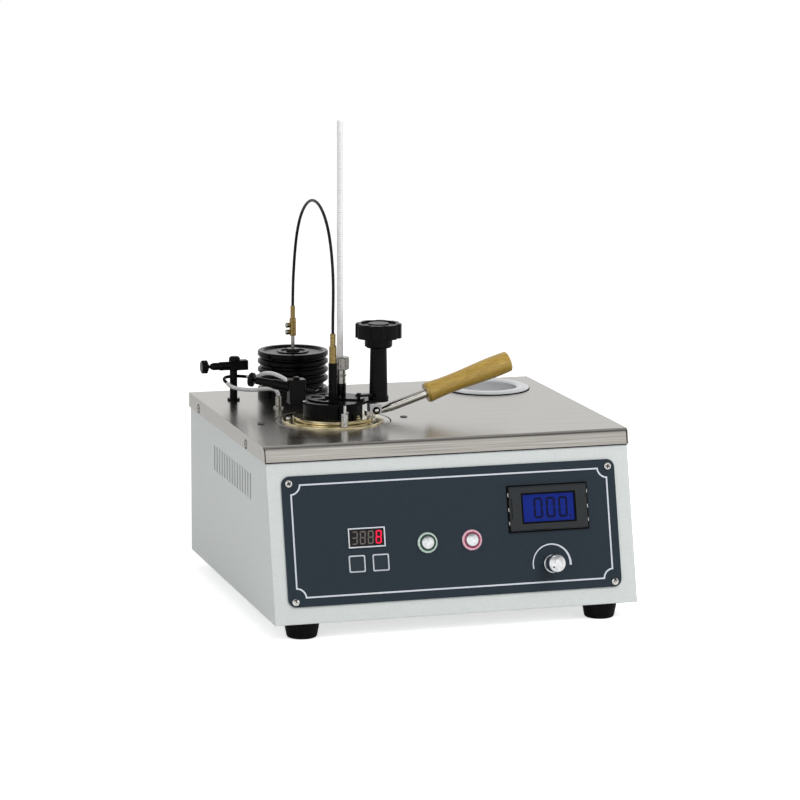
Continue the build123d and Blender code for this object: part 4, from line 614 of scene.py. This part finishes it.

# Meter: a band of painted shadow round the bezel's foot, painted shade round the window's recess, spring
# clips at both sides
meter = {"x": 95.8, "down": 72.3, "blackShadeAndSeams": (81.6, 45.6), "shadowLine": 1.8, "shadowThick": 1.2,
         "window": (55.2, 29.6), "shadeLine": 1.5, "shadeOut": 2.2, "shadeThick": 1.5,
         "clip": (0.7, 2.4, 1.0), "clipX": 40.0, "clipDown": (-14.0, 0.5, 13.5), "clipOut": 1.2}
# Black band round the bezel's outline: painted shadow
strip = outlineStrip(rectangle(*meter["blackShadeAndSeams"]), meter["shadowLine"], meter["shadowThick"])
newPiece("meterShadowOutline", onFace(strip, meter["x"], meter["down"], 0), "blackShadeAndSeams", "base")
# Black frame inside the window's recess: painted shade of its walls
strip = outlineStrip(rectangle(*meter["window"]), meter["shadeLine"], meter["shadeThick"])
strip = onFace(strip, meter["x"], meter["down"], meter["shadeOut"])
newPiece("meterWindowShade", strip, "blackShadeAndSeams", "base")
clips = bmesh.new()
for side in (-1, 1):
    for down in meter["clipDown"]:
        bead = bmesh.ops.create_uvsphere(clips, u_segments=16, v_segments=10, radius=1)["verts"]
        bmesh.ops.scale(clips, vec=meter["clip"], verts=bead)
        bmesh.ops.translate(clips, vec=(side * meter["clipX"], -down, meter["clipOut"]), verts=bead)
newPiece("meterClips", onFace(clips, meter["x"], meter["down"], 0), "zinc", "base", smooth=True)

# Painted shade in the cross recesses of the panel screws and of the lip screws, with the painted shadow ring
# that each lip screw sits in
crosses = {"bar": (4.6, 1.1, 0.16), "panelX": (-160.5, 159.5), "panelDown": (35.8, 145.8), "panelOut": 1.36,
           "panelTurn": ((0.5, 1.3), (1.8, 2.6)), "lipX": 182.98, "lipY": (110.0, -86.0), "lipZ": -9.5,
           "lipTurn": ((0.3, 0.9), (1.2, 1.8)), "ring": (3.7, 4.7, 0.12), "ringX": 183.0, "ringSteps": 40}


# Two black bars laid crosswise, painted shade for the screw's cross recess, turned as the screw was left
def recessShadeCross(turn):
    mesh = bmesh.new()
    for bar in range(2):
        made = bmesh.ops.create_cube(mesh, size=1)["verts"]
        bmesh.ops.scale(mesh, vec=crosses["bar"], verts=made)
        quarter = Matrix.Rotation(turn + bar * math.pi / 2, 3, "Z")
        bmesh.ops.rotate(mesh, cent=(0, 0, 0), matrix=quarter, verts=made)
    return mesh


for row, down in enumerate(crosses["panelDown"]):
    for column, x in enumerate(crosses["panelX"]):
        mesh = onFace(recessShadeCross(crosses["panelTurn"][row][column]), x, down, crosses["panelOut"])
        newPiece(f"panelCross{row}{column}", mesh, "blackInkAndShade", "base")
for row, y in enumerate(crosses["lipY"]):
    for column, side in enumerate((-1, 1)):
        mesh = recessShadeCross(crosses["lipTurn"][row][column])
        bmesh.ops.transform(mesh, matrix=Matrix.Scale(0.001, 4), verts=mesh.verts)
        spot = Matrix.Translation(metres(side * crosses["lipX"], y, crosses["lipZ"]))
        bmesh.ops.transform(mesh, matrix=spot @ Matrix.Rotation(side * math.pi / 2, 4, "Y"), verts=mesh.verts)
        newPiece(f"lipCross{row}{column}", mesh, "blackInkAndShade", "base")
        ringAt = (side * crosses["ringX"], y, crosses["lipZ"])
        shade = turnedPart(ringProfile(*crosses["ring"]), ringAt, (side, 0, 0), crosses["ringSteps"])
        newPiece(f"lipRing{row}{column}", shade, "blackShadeAndSeams", "base")
print("buttons, knob, meter and screw recesses made")

# Thermometer: opal strip behind the bore, mercury, and a scale of short, middle and long marks
thermometer = {"x": -71.6, "y": -24.0, "steps": 16,
               "strip": [(0, 0), (1.5, 0), (1.5, 221.0), (0, 221.0)], "stripAt": (-71.3, -23.0, 70.0),
               "mercury": [(0, 0), (2.1, 1.2), (2.1, 12), (0.45, 15), (0.45, 60), (0, 60)], "bulb": -24.5}
strip = turnedPart(thermometer["strip"], thermometer["stripAt"], up, thermometer["steps"])
newPiece("opalStrip", strip, "milkGlass", "thermometer", smooth=True)
bulbAt = (thermometer["x"], thermometer["y"], thermometer["bulb"])
mercury = turnedPart(thermometer["mercury"], bulbAt, up, thermometer["steps"])
newPiece("mercury", mercury, "chrome", "thermometer", smooth=True)
scale = {"marks": 96, "from": 74.0, "to": 282.0, "radius": 3.17, "facing": 252, "thick": 0.3, "long": 62,
         "middle": 46, "short": 30, "steps": 5}
marks = bmesh.new()
for step in range(scale["marks"] + 1):
    z = scale["from"] + (scale["to"] - scale["from"]) * step / scale["marks"]
    spread = scale["long"] if step % 10 == 0 else scale["middle"] if step % 5 == 0 else scale["short"]
    lower, upper = (scale["radius"], z), (scale["radius"], z + scale["thick"])
    sweptEdge(marks, lower, upper, scale["facing"] - spread / 2, spread, scale["steps"])
bmesh.ops.transform(marks, matrix=Matrix.Scale(0.001, 4), verts=marks.verts)
bmesh.ops.translate(marks, vec=metres(thermometer["x"], thermometer["y"], 0), verts=marks.verts)
newPiece("thermometerScale", marks, "markInk", "thermometer")
print("thermometer made")

# Room: a pale floor that reads white to the camera, a plain sky and four soft lamps
room = {"floorHalf": 6000.0, "floorGlow": 0.62, "mirroredGlow": 0.35, "skyFill": 0.42}
floorMesh = bmesh.new()
bmesh.ops.create_grid(floorMesh, x_segments=1, y_segments=1, size=room["floorHalf"] / 1000)
floorPaint = {"Base Color": linearColour("#f6f6f6"), "Roughness": 0.9}
materials["floor"], floorTree, floorSurface = blankMaterial("Matt white floor", floorPaint)
seen = addNode(floorTree, "ShaderNodeLightPath")
reflected = addNode(floorTree, "ShaderNodeMath", {"operation": "MAXIMUM"},
                    {0: seen.outputs["Is Glossy Ray"], 1: seen.outputs["Is Transmission Ray"]})
softened = addNode(floorTree, "ShaderNodeMath", {"operation": "MULTIPLY", 1: room["mirroredGlow"]},
                   {0: reflected.outputs["Value"]})
shown = addNode(floorTree, "ShaderNodeMath", {"operation": "MAXIMUM"},
                {0: seen.outputs["Is Camera Ray"], 1: softened.outputs["Value"]})
pictured = addNode(floorTree, "ShaderNodeMapRange", {"To Max": room["floorGlow"]},
                   {"Value": shown.outputs["Value"]})
floorGlow = addNode(floorTree, "ShaderNodeEmission", {"Color": linearColour("#ffffff")},
                    {"Strength": pictured.outputs["Result"]})
mixed = addNode(floorTree, "ShaderNodeAddShader", None,
                {0: floorSurface.outputs["BSDF"], 1: floorGlow.outputs["Emission"]})
floorOutput = [n for n in floorTree.nodes if n.type == "OUTPUT_MATERIAL"][0]
floorTree.links.new(mixed.outputs["Shader"], floorOutput.inputs["Surface"])
floor = newPiece("floor", floorMesh, "floor", None)

world = bpy.data.worlds.new("Studio")
bpy.context.scene.world = world
world.use_nodes = True
worldTree = world.node_tree
worldTree.nodes.clear()
rays = addNode(worldTree, "ShaderNodeLightPath")
direct = addNode(worldTree, "ShaderNodeMath", {"operation": "MAXIMUM"},
                 {0: rays.outputs["Is Camera Ray"], 1: rays.outputs["Is Glossy Ray"]})
clear = addNode(worldTree, "ShaderNodeMath", {"operation": "MAXIMUM"},
                {0: direct.outputs["Value"], 1: rays.outputs["Is Transmission Ray"]})
level = addNode(worldTree, "ShaderNodeMapRange", {"To Min": room["skyFill"], "To Max": 1.0},
                {"Value": clear.outputs["Value"]})
heading = addNode(worldTree, "ShaderNodeSeparateXYZ", None,
                  {"Vector": addNode(worldTree, "ShaderNodeTexCoord").outputs["Generated"]})
# Polished parts mirror a room that is brighter in front and darker overhead
front = addNode(worldTree, "ShaderNodeMapRange", {"From Min": -0.75, "From Max": 0.1, "To Min": 1.25,
                "To Max": 1.0}, {"Value": heading.outputs["Y"]})
# A dark ceiling edge, high up in front, draws the line along the cover's bend
high = addNode(worldTree, "ShaderNodeMapRange", {"From Min": 0.45, "From Max": 0.75},
               {"Value": heading.outputs["Z"]})
ahead = addNode(worldTree, "ShaderNodeMapRange", {"From Min": 0.05, "From Max": -0.3},
                {"Value": heading.outputs["Y"]})
edge = addNode(worldTree, "ShaderNodeMath", {"operation": "MULTIPLY"},
               {0: high.outputs["Result"], 1: ahead.outputs["Result"]})
above = addNode(worldTree, "ShaderNodeMapRange", {"To Min": 1.0, "To Max": 0.3},
                {"Value": edge.outputs["Value"]})
ceiling = addNode(worldTree, "ShaderNodeMapRange", {"From Min": 0.3, "From Max": 0.85, "To Min": 1.0,
                  "To Max": 0.6}, {"Value": heading.outputs["Z"]})
overhead = addNode(worldTree, "ShaderNodeMath", {"operation": "MULTIPLY"},
                   {0: above.outputs["Result"], 1: ceiling.outputs["Result"]})
around = addNode(worldTree, "ShaderNodeMath", {"operation": "MULTIPLY"},
                 {0: front.outputs["Result"], 1: overhead.outputs["Value"]})
mirrored = addNode(worldTree, "ShaderNodeMath", {"operation": "SUBTRACT"},
                   {0: rays.outputs["Is Glossy Ray"], 1: rays.outputs["Is Camera Ray"]})
dimmed = addNode(worldTree, "ShaderNodeMapRange", {"To Min": 1.0}, {"Value": mirrored.outputs["Value"],
                 "To Max": around.outputs["Value"]})
strength = addNode(worldTree, "ShaderNodeMath", {"operation": "MULTIPLY"},
                   {0: level.outputs["Result"], 1: dimmed.outputs["Result"]})
sky = addNode(worldTree, "ShaderNodeBackground", {"Color": linearColour("#ffffff")},
              {"Strength": strength.outputs["Value"]})
addNode(worldTree, "ShaderNodeOutputWorld", None, {"Surface": sky.outputs["Background"]})

lamps = {
    "key": {"at": (900, -1500, 1500), "size": 1200, "watts": 24, "mirrored": False},
    "fill": {"at": (-1500, -900, 900), "size": 1200, "watts": 3.0, "mirrored": True},
    "top": {"at": (0, 200, 1900), "size": 1500, "watts": 7, "mirrored": False},
    "glint": {"at": (30, -1390, 1490), "size": 240, "watts": 0.7, "mirrored": True},
}
for name, lamp in lamps.items():
    light = bpy.data.lights.new(name, "AREA")
    light.size = lamp["size"] / 1000
    light.energy = lamp["watts"]
    stand = bpy.data.objects.new(name, light)
    bpy.context.scene.collection.objects.link(stand)
    stand.location = metres(*lamp["at"])
    stand.visible_glossy = lamp["mirrored"]
    aim = metres(0, 0, 0) - stand.location
    stand.rotation_euler = aim.to_track_quat("-Z", "Y").to_euler()

camera = {"at": (-979.81, -3262.02, 626.63), "tilt": 79.7362, "roll": -0.2258, "swing": -16.6376,
          "focalPixels": 3462.997, "picture": 800, "sensor": 36.0, "farthest": 50000}
lens = bpy.data.cameras.new("photoCamera")
lens.sensor_width = camera["sensor"]
lens.sensor_fit = "HORIZONTAL"
lens.lens = camera["focalPixels"] / camera["picture"] * camera["sensor"]
lens.clip_end = camera["farthest"] / 1000
viewer = bpy.data.objects.new("photoCamera", lens)
bpy.context.scene.collection.objects.link(viewer)
viewer.location = metres(*camera["at"])
viewer.rotation_euler = Euler([math.radians(camera[k]) for k in ("tilt", "roll", "swing")], "XYZ")
bpy.context.scene.camera = viewer
bpy.context.scene.view_settings.view_transform = "Standard"
print("camera and lamps set")
